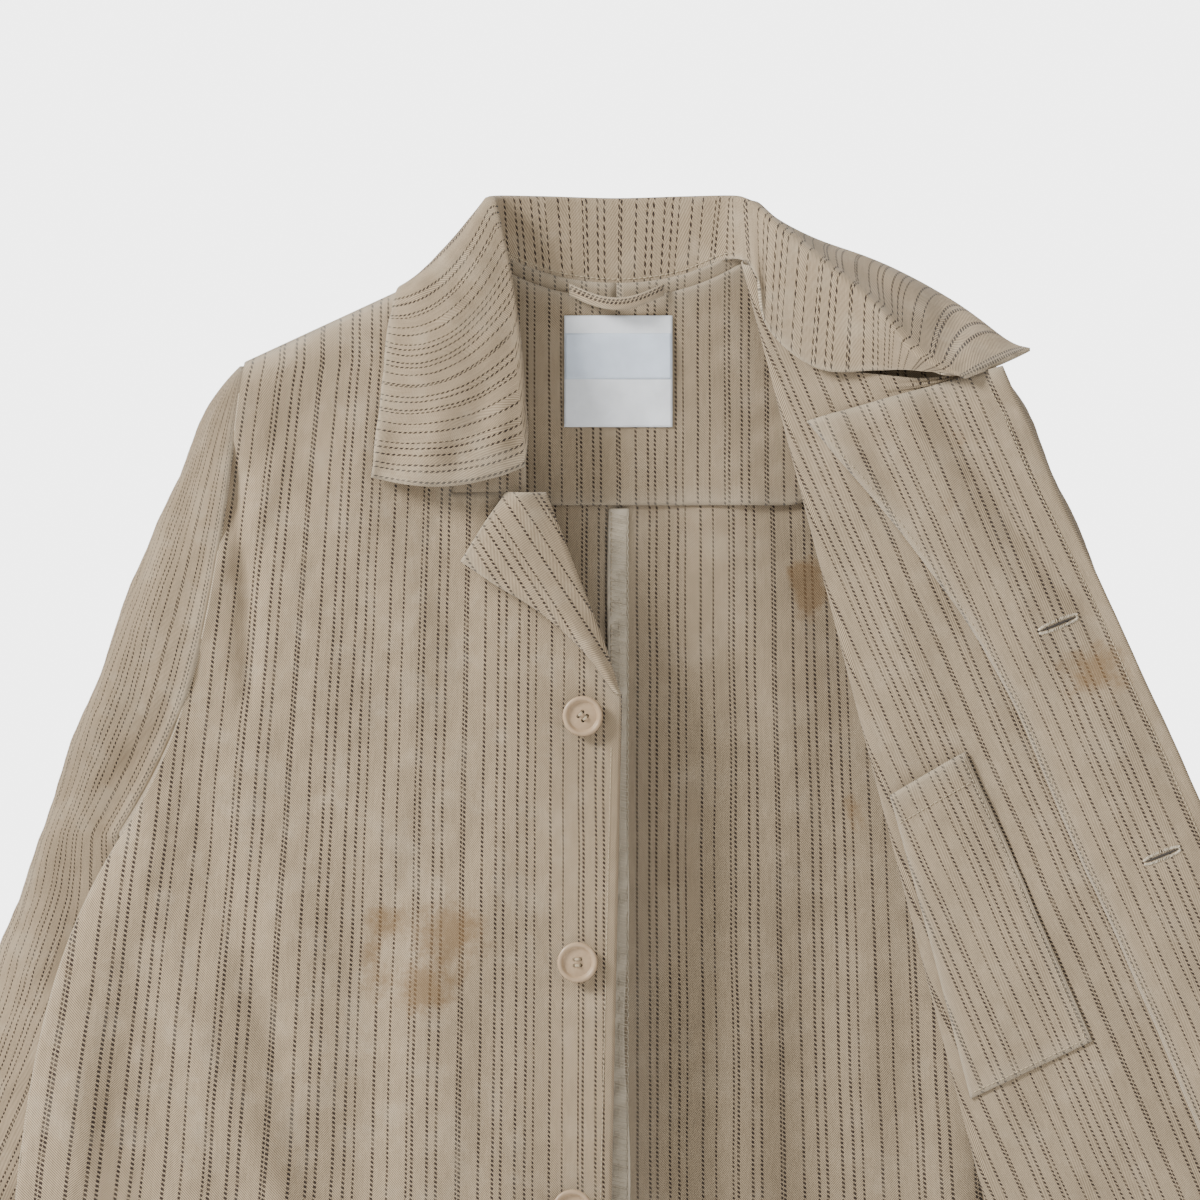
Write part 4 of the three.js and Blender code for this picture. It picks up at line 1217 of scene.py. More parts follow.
class LeftFront:
    """The wearer's left front: its side, the roll that it folds back about, and the turned panel."""

    TOP_ROWS, LOWER_ROWS = 30, 190
    NECK, BREAK = 0.012, 0.111
    TURN_LINE, TURN_LENGTH = (0.136, 0.250), 0.66157
    EDGE_RADIUS = 1.5 * MM
    NECKLINE = ([12, 52, 84, 94, 107, 111], [3, 12, 31, 58, 92, 136])

    def __init__(self) -> None:
        """Works out where each row starts along the fold."""
        upper = np.linspace(self.NECK, self.BREAK, self.TOP_ROWS, endpoint=False)
        self.along = np.concatenate([upper, np.linspace(self.BREAK, FOLD_LENGTH, self.LOWER_ROWS + 1)])
        self.total = self.TOP_ROWS + self.LOWER_ROWS

    @classmethod
    def edge(cls, down: Array) -> Array:
        """Distance from the fold to the neckline or the front edge."""
        neck = np.interp(np.asarray(down) / MM, *cls.NECKLINE) * MM
        return np.where(
            np.asarray(down) < cls.BREAK, neck,
            lerp(*cls.TURN_LINE, (down - cls.BREAK) / cls.TURN_LENGTH)
        )

    def row(self, v: Array) -> Array:
        """Distance along the fold for row share v."""
        return np.interp(v * self.total, np.arange(self.total + 1), self.along)

    def lower(self, v: Array) -> Array:
        """Distance along the fold for row share v of the part below the neck."""
        return lerp(self.BREAK, FOLD_LENGTH, v)

    @staticmethod
    def slope(away: Array, down: Array) -> Array:
        """Distance along the fold of a point of a row, as rows tilt to meet the hem."""
        return down - 0.25802 * away * smooth((down - 0.35) / 0.45)

    @staticmethod
    def drape(away: Array, down: Array) -> Array:
        """How far the turned cloth stands towards the viewer."""
        near = smooth(away / 0.03)
        waves = 0.0026 * np.sin(away * 58 + 0.8 - 2.1 * down) * smooth((down - 0.2) / 0.4)
        uneven = 0.0010 * ripple(away, down * 0.6, 0.06, 23) + 0.0003 * ripple(away, down, 0.02, 29)
        return near * (waves + uneven + creased(TURNED_FOLDS, away, down))

    @classmethod
    def turned(cls, away: Array, down: Array, lift: Array | float = 0.0) -> Array:
        """A point of the turned cloth.

        Args:
            away: distance from the fold, in metres.
            down: distance along the fold, in metres.
            lift: distance in front of the cloth, in metres.

        Returns:
            The point.
        """
        away, down = np.broadcast_arrays(np.asarray(away, float), np.asarray(down, float))
        rise = cls.drape(away, down) + lift
        return (
            FOLD_TOP
            + away[..., None] * AWAY
            + down[..., None] * FOLD_DOWN
            + np.asarray(rise)[..., None] * FACE
        )

    @classmethod
    def turned_grain(cls, away: Array, down: Array) -> Array:
        """Cloth coordinates on the turned front, whose stripes run with its edge."""
        line = lerp(*cls.TURN_LINE, (down - cls.BREAK) / cls.TURN_LENGTH)
        return np.stack([(line - away) * 0.9854 - 0.011, down * 1.0148], axis=-1)

    def place(self, u: Array, v: Array) -> tuple[Array, Array]:
        """Distances from the fold and along it, of the turned panel."""
        down = self.row(v)
        far = self.edge(down)
        for _ in range(3):
            far = np.where(down > self.BREAK, self.edge(np.maximum(self.BREAK, self.slope(far, down))), far)
        away = lerp(0.003, np.maximum(far, 0.0032), u)
        return away, self.slope(away, down)

    def panel(self, u: Array, v: Array) -> Array:
        """The turned panel, from the fold to the front edge."""
        return self.turned(*self.place(u, v))

    def facing_place(self, u: Array, v: Array) -> tuple[Array, Array, Array]:
        """Distances from the fold, along it and in front of the panel, for the facing."""
        down = self.lower(v)
        far = self.edge(down)
        for _ in range(3):
            far = self.edge(np.maximum(self.BREAK, self.slope(far, down)))
        turn = clamp(u / 0.12) * math.pi
        flat = clamp((u - 0.12) / 0.88)
        width = 0.078 + 0.045 * clamp(1 - (down - 0.111) / 0.19) ** 1.5
        away = far + self.EDGE_RADIUS * np.sin(turn) - flat * width
        lift = self.EDGE_RADIUS * (1 - np.cos(turn)) - 0.0013 * smooth((flat - 0.93) / 0.07)
        return away, self.slope(far - flat * width, down), lift + 0.0006 * np.sin(math.pi * flat)

    def facing(self, u: Array, v: Array) -> Array:
        """Round the front edge and back over the panel."""
        away, down, lift = self.facing_place(u, v)
        return self.turned(away, down, lift)

    def side(self, u: Array, v: Array) -> Array:
        """From the fold to the side seam, behind the turned panel."""
        down = self.row(v)
        share = 1 - (1 - u) ** 2
        z0 = FOLD_TOP[2] + down * FOLD_DOWN[2] + 0.004 * (1 - v)
        z0 = np.maximum(z0, BODY.hem)
        shoulder = BODY.top_line(BODY.shoulder_half * MM) - 0.0001
        z = lerp(z0, lerp(shoulder, BODY.hem, v), share)
        start = lerp(0.0755, 0.284, (0.020 - z0) / 0.81)
        x = lerp(start, BODY.half_width(z), share)
        z = np.minimum(z, BODY.top_line(x) - 0.0001)
        depth = hang(x, z, 41) + creased(LEFT_FOLDS, x, z)
        fade = smooth((x - start) / 0.05)
        return stack(x, BODY.front_y(x, z) - depth * fade, z)

    def roll(self, u: Array, v: Array) -> Array:
        """The bend that joins the side to the turned panel."""
        back, front = self.side(0 * u, v), self.panel(0 * u, v)
        ahead = np.array([-1.0, 0, 0]) * 0.0048
        a = back + ahead
        b = front - AWAY * 0.0048
        s = u[..., None]
        return back * (1 - s) ** 3 + 3 * a * s * (1 - s) ** 2 + 3 * b * s**2 * (1 - s) + front * s**3

    def build(self, wardrobe: Wardrobe) -> None:
        """Makes the front, its pockets, its buttonholes and its sewing."""

        def body_grain(u: Array, v: Array) -> Array:
            """Cloth coordinates at the side."""
            p = self.side(u, v)
            return BODY.grain(p[..., 0], p[..., 2])

        def panel_grain(u: Array, v: Array) -> Array:
            """Cloth coordinates on the turned panel."""
            return self.turned_grain(*self.place(u, v))

        def facing_grain(u: Array, v: Array) -> Array:
            """Cloth coordinates on the facing."""
            away, down, _ = self.facing_place(u, v)
            return self.turned_grain(away, down) + np.array([0.006, 0.0])

        patches = [
            Patch.of(self.side, 46, self.total, body_grain),
            Patch.of(
                self.roll, 14, self.total,
                lambda u, v: self.turned_grain(0.003 - 0.009 * (1 - u), self.row(v))
            ),
            Patch.of(self.panel, 72, self.total, panel_grain),
            Patch.of(self.facing, 36, self.LOWER_ROWS, facing_grain),
        ]
        cloth = Cloth("front_left", patches, 1.3, TURNED_STAINS)
        front = cloth.dress(
            wardrobe.inner, "twill_inside", "left_front_side", "left_front_panel", "left_facing"
        )
        self.bend(front)
        self._inner_pocket(wardrobe)
        self._hip_pocket(wardrobe)
        self._buttonholes(wardrobe)
        self._sewing(wardrobe)

    @staticmethod
    def bend(piece: bpy.types.Object) -> None:
        """Bakes the piece's transform into its mesh; the facing direction worked out here is not used."""
        middle = AWAY + np.array([1.0, 0, 0])
        facing = np.cross(FOLD_DOWN, middle)
        facing = Vector(facing / np.linalg.norm(facing))
        if facing.y > 0:
            facing = -facing
        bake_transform(piece)

    def inner_pocket(self, u: Array, v: Array) -> Array:
        """The patch pocket inside the turned front, whose mouth sags open."""
        away = 0.006 + (0.051 + 0.031 * v) * u
        down = 0.339 - 0.014 * u + 0.186 * v - 0.003 * u * v
        gape = 0.0075 * np.sqrt(np.sin(math.pi * clamp(0.12 + 0.87 * u))) * np.maximum(0, 1 - v * 1.6) ** 2
        return self.turned(away, down, 0.0017 + gape)

    def _inner_pocket(self, wardrobe: Wardrobe) -> None:
        """Makes the inner pocket."""

        def grain(u: Array, v: Array) -> Array:
            """Cloth coordinates on the pocket."""
            return self.turned_grain(0.006 + (0.051 + 0.031 * v) * u, 0.339 + 0.186 * v - 0.014 * u) + 0.004

        cloth = Cloth("inner_pocket_cloth", [Patch.of(self.inner_pocket, 34, 60, grain)], 1.3)
        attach(cloth.dress(wardrobe.inner, "twill_inside", "inner_pocket"), "left_front")
        rows = Stitching("inner_pocket_stitches")
        rows.row_on(self.inner_pocket, (0.955, 0.02), (0.96, 0.985), -0.0009)
        rows.row_on(self.inner_pocket, (0.04, 0.985), (0.96, 0.985), -0.0009)
        rows.row_on(self.inner_pocket, (0.03, 0.095), (0.95, 0.095), -0.0009)
        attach(rows.make(wardrobe.thread), "left_front")

    def hip_pocket(self, u: Array, v: Array) -> Array:
        """The hip pocket, on the side of the turned front that faces back."""
        down = 0.596 + 0.165 * v - 0.022 * u
        outer = self.edge(down) - 0.038
        away = outer - 0.165 * (1 - u)
        gape = 0.0065 * np.sqrt(np.sin(math.pi * clamp(u * 0.98 + 0.01))) * np.sqrt(np.maximum(0, 1 - v**4))
        return self.turned(away, down, -(0.0016 + gape))

    def _hip_pocket(self, wardrobe: Wardrobe) -> None:
        """Makes the hip pocket."""

        def grain(u: Array, v: Array) -> Array:
            """Cloth coordinates on the pocket."""
            return self.turned_grain(0.05 + 0.165 * u, 0.596 + 0.165 * v)

        cloth = Cloth("hip_pocket_left", [Patch.of(self.hip_pocket, 40, 40, grain)], 1.4)
        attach(cloth.dress(wardrobe.outer, "twill", "left_hip_pocket"), "left_front")
        rows = Stitching("pocket_stitches_left")
        for u in (0.025, 0.975):
            rows.row_on(self.hip_pocket, (u, 0.02), (u, 0.975), 0.0009)
        rows.row_on(self.hip_pocket, (0.025, 0.975), (0.975, 0.975), 0.0009)
        rows.row_on(self.hip_pocket, (0.02, 0.13), (0.98, 0.13), 0.0009)
        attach(rows.make(wardrobe.thread), "left_front")

    def _buttonholes(self, wardrobe: Wardrobe) -> None:
        """Makes four worked buttonholes: a dark slit between close stitches."""
        for i in range(4):
            down = 0.266 + 0.146 * i
            away = float(self.edge(down)) - 0.031
            name = f"buttonhole_thread_{i + 1}"
            rows = Stitching(name)
            count = 88
            for k in range(count):
                a = 2 * math.pi * (k + 0.3 * math.sin(k * 5.1)) / count
                c, s = math.cos(a), math.sin(a)
                x = 0.0103 * np.sign(c) * abs(c) ** 0.8
                inner = np.array([x, 0.0008 * s + 0.0004 * np.sign(s)])
                outer = inner + np.array(
                    [
                        0.0016 * c * abs(c) ** 3,
                        (0.0021 + 0.0002 * math.sin(k * 2.7)) * np.sign(s) * abs(s) ** 0.4
                    ]
                )
                t = np.linspace(0, 1, 5)
                spot = inner + (outer - inner) * t[:, None]
                rise = 0.0041 + 0.0007 * np.sin(math.pi * t)
                rows.strand(
                    self.turned(away + spot[:, 0], down - spot[:, 0] * 0.14 + spot[:, 1], rise), 0.00026
                )
            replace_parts(thread := rows.make(wardrobe.pale_thread), f"buttonhole_{i + 1}")
            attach(thread, "left_front")

            def slit(u: Array, v: Array) -> Array:
                """The slit, widest in its middle."""
                x = lerp(-0.0104, 0.0104, u)
                wide = 0.0008 * np.sqrt(np.sin(math.pi * clamp(u * 0.98 + 0.01)))
                return self.turned(away + x, down - x * 0.14 + (v - 0.5) * 2 * wide, 0.0044)

            hole = Cloth(f"buttonhole_slit_{i + 1}", [Patch.of(slit, 20, 2)], 0.2)
            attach(hole.dress(wardrobe.shadow, "thread"), "left_front")

    def _sewing(self, wardrobe: Wardrobe) -> None:
        """Makes the stitches along the facing and the front edge."""
        rows = Stitching("front_stitches_left")
        rows.row_on(self.facing, (0.19, 0.015), (0.19, 0.985), 0.0009, 220)
        rows.row_on(self.facing, (0.965, 0.02), (0.965, 0.985), 0.0009, 220, pitch=4.2, long=1.6)
        rows.row_on(self.panel, (0.02, 0.985), (0.66, 0.985), -0.0009)
        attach(rows.make(wardrobe.thread), "left_front")


class Collar:
    """The collar: one stand and one leaf, lying down on the right and turned up on the left."""

    STEPS = 230
    OUTSIDE = -1.0
    FOOT = Curve([
        (-54.5, -24, -92), (-59, -22.5, -60), (-67, -18, -8), (-72, -12, 14), (-74.5, -4.5, 24),
        (-73, 2, 21),
        (-63.6, 7.5, 13), (-37, 12, 2), (0, 13, -3), (37, 12, 2), (63.6, 7.5, 13), (75.5, -1.5, 13),
        (83.2, -27.3, 1.6), (89.5, -31, -29), (120, -37, -54), (154, -44, -55), (172, -55, -55),
        (192, -68, -58),
    ])
    INNER = Curve([
        (-54, -26.5, -86), (-58, -24.5, -35), (-65, -17, 11), (-70, -9, 34), (-73, -2.5, 49),
        (-73.5, 1, 49),
        (-66.6, 8.5, 50), (-40.7, 14, 50), (0, 17, 49), (40.7, 14, 50), (66.6, 8.5, 50), (73, 0.5, 49),
        (82, -9, 44), (93, -24, 32), (125, -40, 5), (154, -53, -20), (176, -62, -47), (204, -73, -60),
    ])
    ROLL = Curve([
        (-55, -29.5, -112), (-60, -27.5, -52), (-67, -19, 8), (-73, -11, 32), (-78.5, -2.5, 48),
        (-78, 3, 50),
        (-73, 12, 51), (-44.4, 19, 51), (0, 21, 50), (44.4, 19, 51), (73, 12, 51), (78, 1, 49),
        (85, -6, 45), (96, -19, 35), (128, -35, 8), (157, -48, -17), (181, -62, -45), (206, -72.5, -60),
    ])
    CROWN = Curve([
        (-100, -32, -120), (-100, -30, -74), (-100, -27, -32), (-101, -23, -10), (-102, -16, 12),
        (-101, 2, 22),
        (-96, 17, 21), (-60, 27, 16), (0, 29, 12), (60, 27, 16), (92, 16, 24), (96, 10, 33),
        (92, 5, 40), (106, 7, 30), (136, 5, 19), (164, -1, 8), (196, -12, -12), (228, -60, -51),
    ])
    EDGE = Curve([
        (-146, -27, -118), (-141, -24, -75), (-137, -21, -36), (-135, -19, -22), (-131, -14, -6),
        (-124, 2, -3),
        (-112, 18, -12), (-74, 26, -25), (0, 27, -28), (74, 26, -25), (112, 19, -12), (122, 12, -5),
        (129, 4, 1), (150, 8, -5), (171, 7, -12), (192, 0, -23), (220, -22, -36), (244, -50, -43),
    ])

    def section(self, u: Array, w: Array) -> Array:
        """A point of the collar.

        Args:
            u: 0 at the right front end and 1 at the left front end.
            w: 0 at the neck seam and 1 at the free edge.

        Returns:
            The point.
        """
        foot, inner, roll, crown, edge = (
            c(u)
            for c in (self.FOOT, self.INNER, self.ROLL, self.CROWN, self.EDGE)
        )
        a = clamp(w / 0.36)[..., None]
        b = clamp((w - 0.36) / 0.06)[..., None]
        c = clamp((w - 0.42) / 0.58)[..., None]
        away = (inner + roll) / 2 - (foot + edge) / 2
        away /= np.maximum(np.linalg.norm(away, axis=-1, keepdims=True), 1e-9)
        top = (inner + roll) / 2 + away * 0.0022
        stand = foot * (1 - a) + inner * a
        bend = inner * (1 - b) ** 2 + 2 * top * b * (1 - b) + roll * b**2
        leaf = roll * (1 - c) * (1 - 2 * c) + 4 * crown * c * (1 - c) + edge * c * (2 * c - 1)
        return np.where(w[..., None] < 0.36, stand, np.where(w[..., None] < 0.42, bend, leaf))

    def surface(self, u: Array, w: Array) -> Array:
        """The collar with its creases and its sagging right end."""
        p = self.section(u, w)
        leaf = clamp((w - 0.42) / 0.58)
        end = clamp(1 - u * 17)
        p[..., 2] -= 0.0035 * end**4 * np.sin(math.pi * leaf)
        p[..., 1] -= 0.004 * np.sin(math.pi * leaf) * smooth((0.26 - u) / 0.1)
        left = smooth((u - 0.62) / 0.1)
        uneven = (
            0.0018 * ripple(p[..., 0], p[..., 2], 0.035, 61)
            + 0.0004 * ripple(p[..., 0], p[..., 2], 0.013, 67)
        )
        creases = 0.0030 * np.sin(leaf * 8 + u * 34) * left * np.sin(math.pi * leaf) * (
            1 - smooth((u - 0.93) / 0.05)
        )
        p[..., 1] -= (uneven * smooth((w - 0.42) / 0.1) + creases) * smooth((1 - w) / 0.03 + 0.4)
        return p

    def grain(self, u: Array, w: Array) -> Array:
        """Cloth coordinates, with stripes along the collar's width on the leaf."""
        roll = np.linspace(0, 1, 400)
        line = self.ROLL(roll)
        run = np.concatenate([[0], np.cumsum(np.linalg.norm(np.diff(line, axis=0), axis=1))])
        along = np.interp(u, roll, run) - np.interp(0.47, roll, run)
        width = (w - 0.42) * 0.125
        on_stand = np.stack([along, width * 0.6], axis=-1)
        on_leaf = np.stack([along, width + 0.003], axis=-1)
        return np.where(w[..., None] < 0.385, on_stand, on_leaf)

    def build(self, wardrobe: Wardrobe) -> None:
        """Makes the collar and its stitching."""
        patch = Patch.of(self.surface, self.STEPS, 86, self.grain)
        cloth = Cloth("collar", [patch], 2.0, FRONT_STAINS + TURNED_STAINS)
        sides = ("back_left", "back_right", "right", "left")
        nodes = [f"collar_{part}_{side}" for part in ("leaf", "stand") for side in sides]
        self.bend(cloth.dress(wardrobe.outer, "twill", *nodes))
        rows = Stitching("collar_stitches")
        for start, end in (
            ((0.02, 0.955), (0.985, 0.955)), ((0.008, 0.44), (0.008, 0.955)),
            ((0.985, 0.46), (0.985, 0.95))
        ):
            rows.row_on(self.surface, start, end, self.OUTSIDE * 0.0012, 500)
        rows.row_on(self.surface, (0.06, 0.035), (0.62, 0.035), -self.OUTSIDE * 0.0012, 300)
        self.bend(rows.make(wardrobe.thread))

    @staticmethod
    def bend(piece: bpy.types.Object) -> None:
        """Bakes the piece's transform into its mesh."""
        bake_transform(piece)


BACK_FOLDS = (
    Fold((60, -180), (95, -420), 16, 2.2, 8),
    Fold((120, -260), (150, -780), 24, 4.0),
    Fold((190, -330), (240, -780), 24, -4.5),
    Fold((40, -420), (60, -780), 20, -2.6),
)


class Back:
    """The two back panels, joined down the centre, with the facing, seam tape, label and loop inside."""

    ROWS = 150
    INWARD = 1.0

    @staticmethod
    def drape(x: Array, z: Array) -> Array:
        """How far the back stands out behind."""
        near = smooth((np.abs(x) - 0.008) / 0.05)
        return (hang(x, z, 71) + creased(BACK_FOLDS, np.abs(x), z)) * near

    @classmethod
    def at(cls, x: Array, z: Array, inside: Array | float = 0.0) -> Array:
        """A point of the back; inside moves it towards the front."""
        return stack(x, BODY.back_y(x, z) + cls.drape(x, z) - inside, z)

    def panel(self, side: int) -> Surface:
        """One back panel."""

        def surface(u: Array, v: Array) -> Array:
            """Point of the panel."""
            share = 1 - (1 - u) ** 2
            top_x = lerp(0.0085, BODY.shoulder_half * MM, share)
            top = BODY.top_line(top_x) - 0.0001
            z = lerp(top, BODY.hem, v)
            x = side * lerp(0.0, BODY.half_width(z), share)
            z = np.minimum(z, BODY.top_line(np.abs(x)) - 0.0001)
            p = self.at(x, z)
            return p

        return surface

    def build(self, wardrobe: Wardrobe) -> None:
        """Makes the panels and everything sewn to their inside."""
        for side, name in ((each.value, each.label) for each in Side):
            surface = self.panel(side)

            def grain(u: Array, v: Array) -> Array:
                """Cloth coordinates of the panel."""
                p = surface(u, v)
                return BODY.grain(p[..., 0], p[..., 2]) + np.array([0.0013 * side, 0.0])

            cloth = Cloth(f"back_{name}", [Patch.of(surface, 84, self.ROWS, grain)], 1.5, BACK_STAINS)
            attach(cloth.dress(wardrobe.inner, "twill_inside", f"back_panel_{name}"), "body")
        self._facing(wardrobe)
        self._tape(wardrobe)
        self._label(wardrobe)
        self._loop(wardrobe)
        self._hem(wardrobe)

    def facing(self, u: Array, v: Array) -> Array:
        """The facing inside the shoulders, with rounded lower corners."""
        x = lerp(-0.128, 0.128, u)
        corner = clamp((np.abs(x) - 0.102) / 0.026)
        bottom = -0.134 + 0.026 * (1 - np.sqrt(np.maximum(0, 1 - corner**2)))
        z = lerp(BODY.top_line(x) - 0.009, bottom, v)
        return self.at(x, z, 0.0027 + 0.0005 * ripple(x, z, 0.05, 83))

    def _facing(self, wardrobe: Wardrobe) -> None:
        """Makes the facing and its stitches."""

        def grain(u: Array, v: Array) -> Array:
            """Cloth coordinates of the facing."""
            p = self.facing(u, v)
            return np.stack([p[..., 0] + 0.0021, p[..., 2]], axis=-1)

        cloth = Cloth("back_facing_cloth", [Patch.of(self.facing, 110, 44, grain)], 1.4, BACK_STAINS)
        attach(cloth.dress(wardrobe.inner, "twill_inside", "back_facing"), "body")
        rows = Stitching("facing_stitches")
        rows.row_on(self.facing, (0.012, 0.972), (0.988, 0.972), self.INWARD * 0.001, 260)
        for u in (0.014, 0.986):
            rows.row_on(self.facing, (u, 0.1), (u, 0.97), self.INWARD * 0.001)
        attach(rows.make(wardrobe.thread), "body")

    def tape(self, u: Array, v: Array) -> Array:
        """The tape over the centre seam."""
        z = lerp(-0.136, -0.788, v)
        x = lerp(-0.0055, 0.0065, u) + 0.0012 * ripple(z * 0 + 0.1, z, 0.12, 91)
        return self.at(x, z, 0.0022 + 0.0007 * np.sin(math.pi * u) + 0.0004 * ripple(x, z, 0.012, 93))

    def _tape(self, wardrobe: Wardrobe) -> None:
        """Makes the tape with its overlocked edges."""
        cloth = Cloth("seam_tape", [Patch.of(self.tape, 10, 260)], 0.8)
        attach(cloth.dress(wardrobe.tape, "tape", "centre_back_tape"), "body")
        rows = Stitching("tape_overlock")
        loops = 300
        for k in range(loops):
            z = -0.139 - 0.645 * k / loops
            t = np.linspace(0, 1, 5)
            x = lerp(-0.0030, 0.0072, t) + 0.0004 * math.sin(k * 2.3)
            slant = z - 0.0026 * t + 0.0004 * math.sin(k * 4.1)
            lift = 0.0031 + 0.0007 * np.sin(math.pi * t)
            rows.strand(self.at(x, slant, lift), 0.00028)
        line = np.linspace(-0.138, -0.786, 420)
        for x in (0.0068, 0.0018):
            wobble = x + 0.0003 * np.sin(np.arange(420) * 1.9)
            rows.strand(self.at(wobble, line, 0.0033), 0.00026)
        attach(rows.make(wardrobe.pale_thread, "tape"), "body")
        seams = Stitching("tape_stitches")
        x = np.full(300, -0.0032)
        out = np.tile([0.0, -1.0, 0.0], (300, 1))
        seams.row(self.at(x, np.linspace(-0.138, -0.786, 300), 0.0031), out)
        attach(seams.make(wardrobe.thread, "tape"), "body")

    def label(self, u: Array, v: Array) -> Array:
        """The blank label."""
        x, z = lerp(-0.0315, 0.0335, u), lerp(-0.020, -0.087, v)
        curl = 0.0006 * np.sin(math.pi * u) * np.sin(math.pi * v)
        return self.at(x, z, 0.0047 + curl + 0.0003 * ripple(x, z, 0.03, 97))

    def _label(self, wardrobe: Wardrobe) -> None:
        """Makes the label, its woven band and its corner stitches."""
        label = Cloth("neck_label", [Patch.of(self.label, 40, 40)], 0.6)
        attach(label.dress(wardrobe.label, "label", "label"), "body")

        def band(u: Array, v: Array) -> Array:
            """The pale band across the label's upper part."""
            return self.label(0.006 + 0.988 * u, lerp(0.16, 0.57, v)) + np.array([0, -0.00045, 0])

        stripe = Cloth("neck_label_band", [Patch.of(band, 40, 16)], 0.25)
        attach(stripe.dress(wardrobe.label_band, "label"), "body")
        rows = Stitching("label_stitches")
        for u in (0.03, 0.97):
            rows.row_on(
                self.label, (u, 0.02), (u, 0.98), self.INWARD * 0.0004, pitch=2.4, long=1.8, thread=0.18
            )
        rows.row_on(
            self.label, (0.03, 0.03), (0.97, 0.03), self.INWARD * 0.0004, pitch=2.4, long=1.8,
            thread=0.18
        )
        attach(rows.make(wardrobe.label_thread, "label"), "body")

    @staticmethod
    def loop(u: Array, v: Array) -> Array:
        """The hanging loop, a folded strip that arches forward."""
        arch = np.sin(math.pi * u)
        x = lerp(-0.028, 0.028, u)
        z = -0.001 - 0.009 * arch - 0.007 * v
        y = BODY.back_y(0.0, 0.0) - 0.0055 - 0.008 * arch**0.7 - 0.0006 * np.sin(math.pi * v)
        return stack(x, y + 0 * z, z)

    def _loop(self, wardrobe: Wardrobe) -> None:
        """Makes the loop and its two rows of stitches."""

        def grain(u: Array, v: Array) -> Array:
            """Cloth coordinates of the loop."""
            return np.stack([0.007 * v + 0.0009, 0.062 * u], axis=-1)

        cloth = Cloth("loop_cloth", [Patch.of(self.loop, 48, 8, grain)], 1.8)
        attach(cloth.dress(wardrobe.outer, "twill", "hang_loop"), "hang_loop")
        rows = Stitching("loop_stitches")
        for v in (0.16, 0.84):
            rows.row_on(
                self.loop, (0.02, v), (0.98, v), self.INWARD * 0.0011, pitch=2.6, long=2.0, thread=0.24
            )
        for u in (0.05, 0.95):
            rows.row_on(
                self.loop, (u, 0.05), (u, 0.95), self.INWARD * 0.0011, pitch=1.4, long=1.2, thread=0.26
            )
        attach(rows.make(wardrobe.thread), "hang_loop")

    def _hem(self, wardrobe: Wardrobe) -> None:
        """Makes the row of stitches above the hem of the back."""
        rows = Stitching("back_hem_stitches")
        for side in (1, -1):
            rows.row_on(self.panel(side), (0.02, 0.97), (0.98, 0.97), 0.0009 * side, 200)
            rows.row_on(self.panel(side), (0.02, 0.97), (0.98, 0.97), -0.0009 * side, 200)
        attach(rows.make(wardrobe.thread), "body")


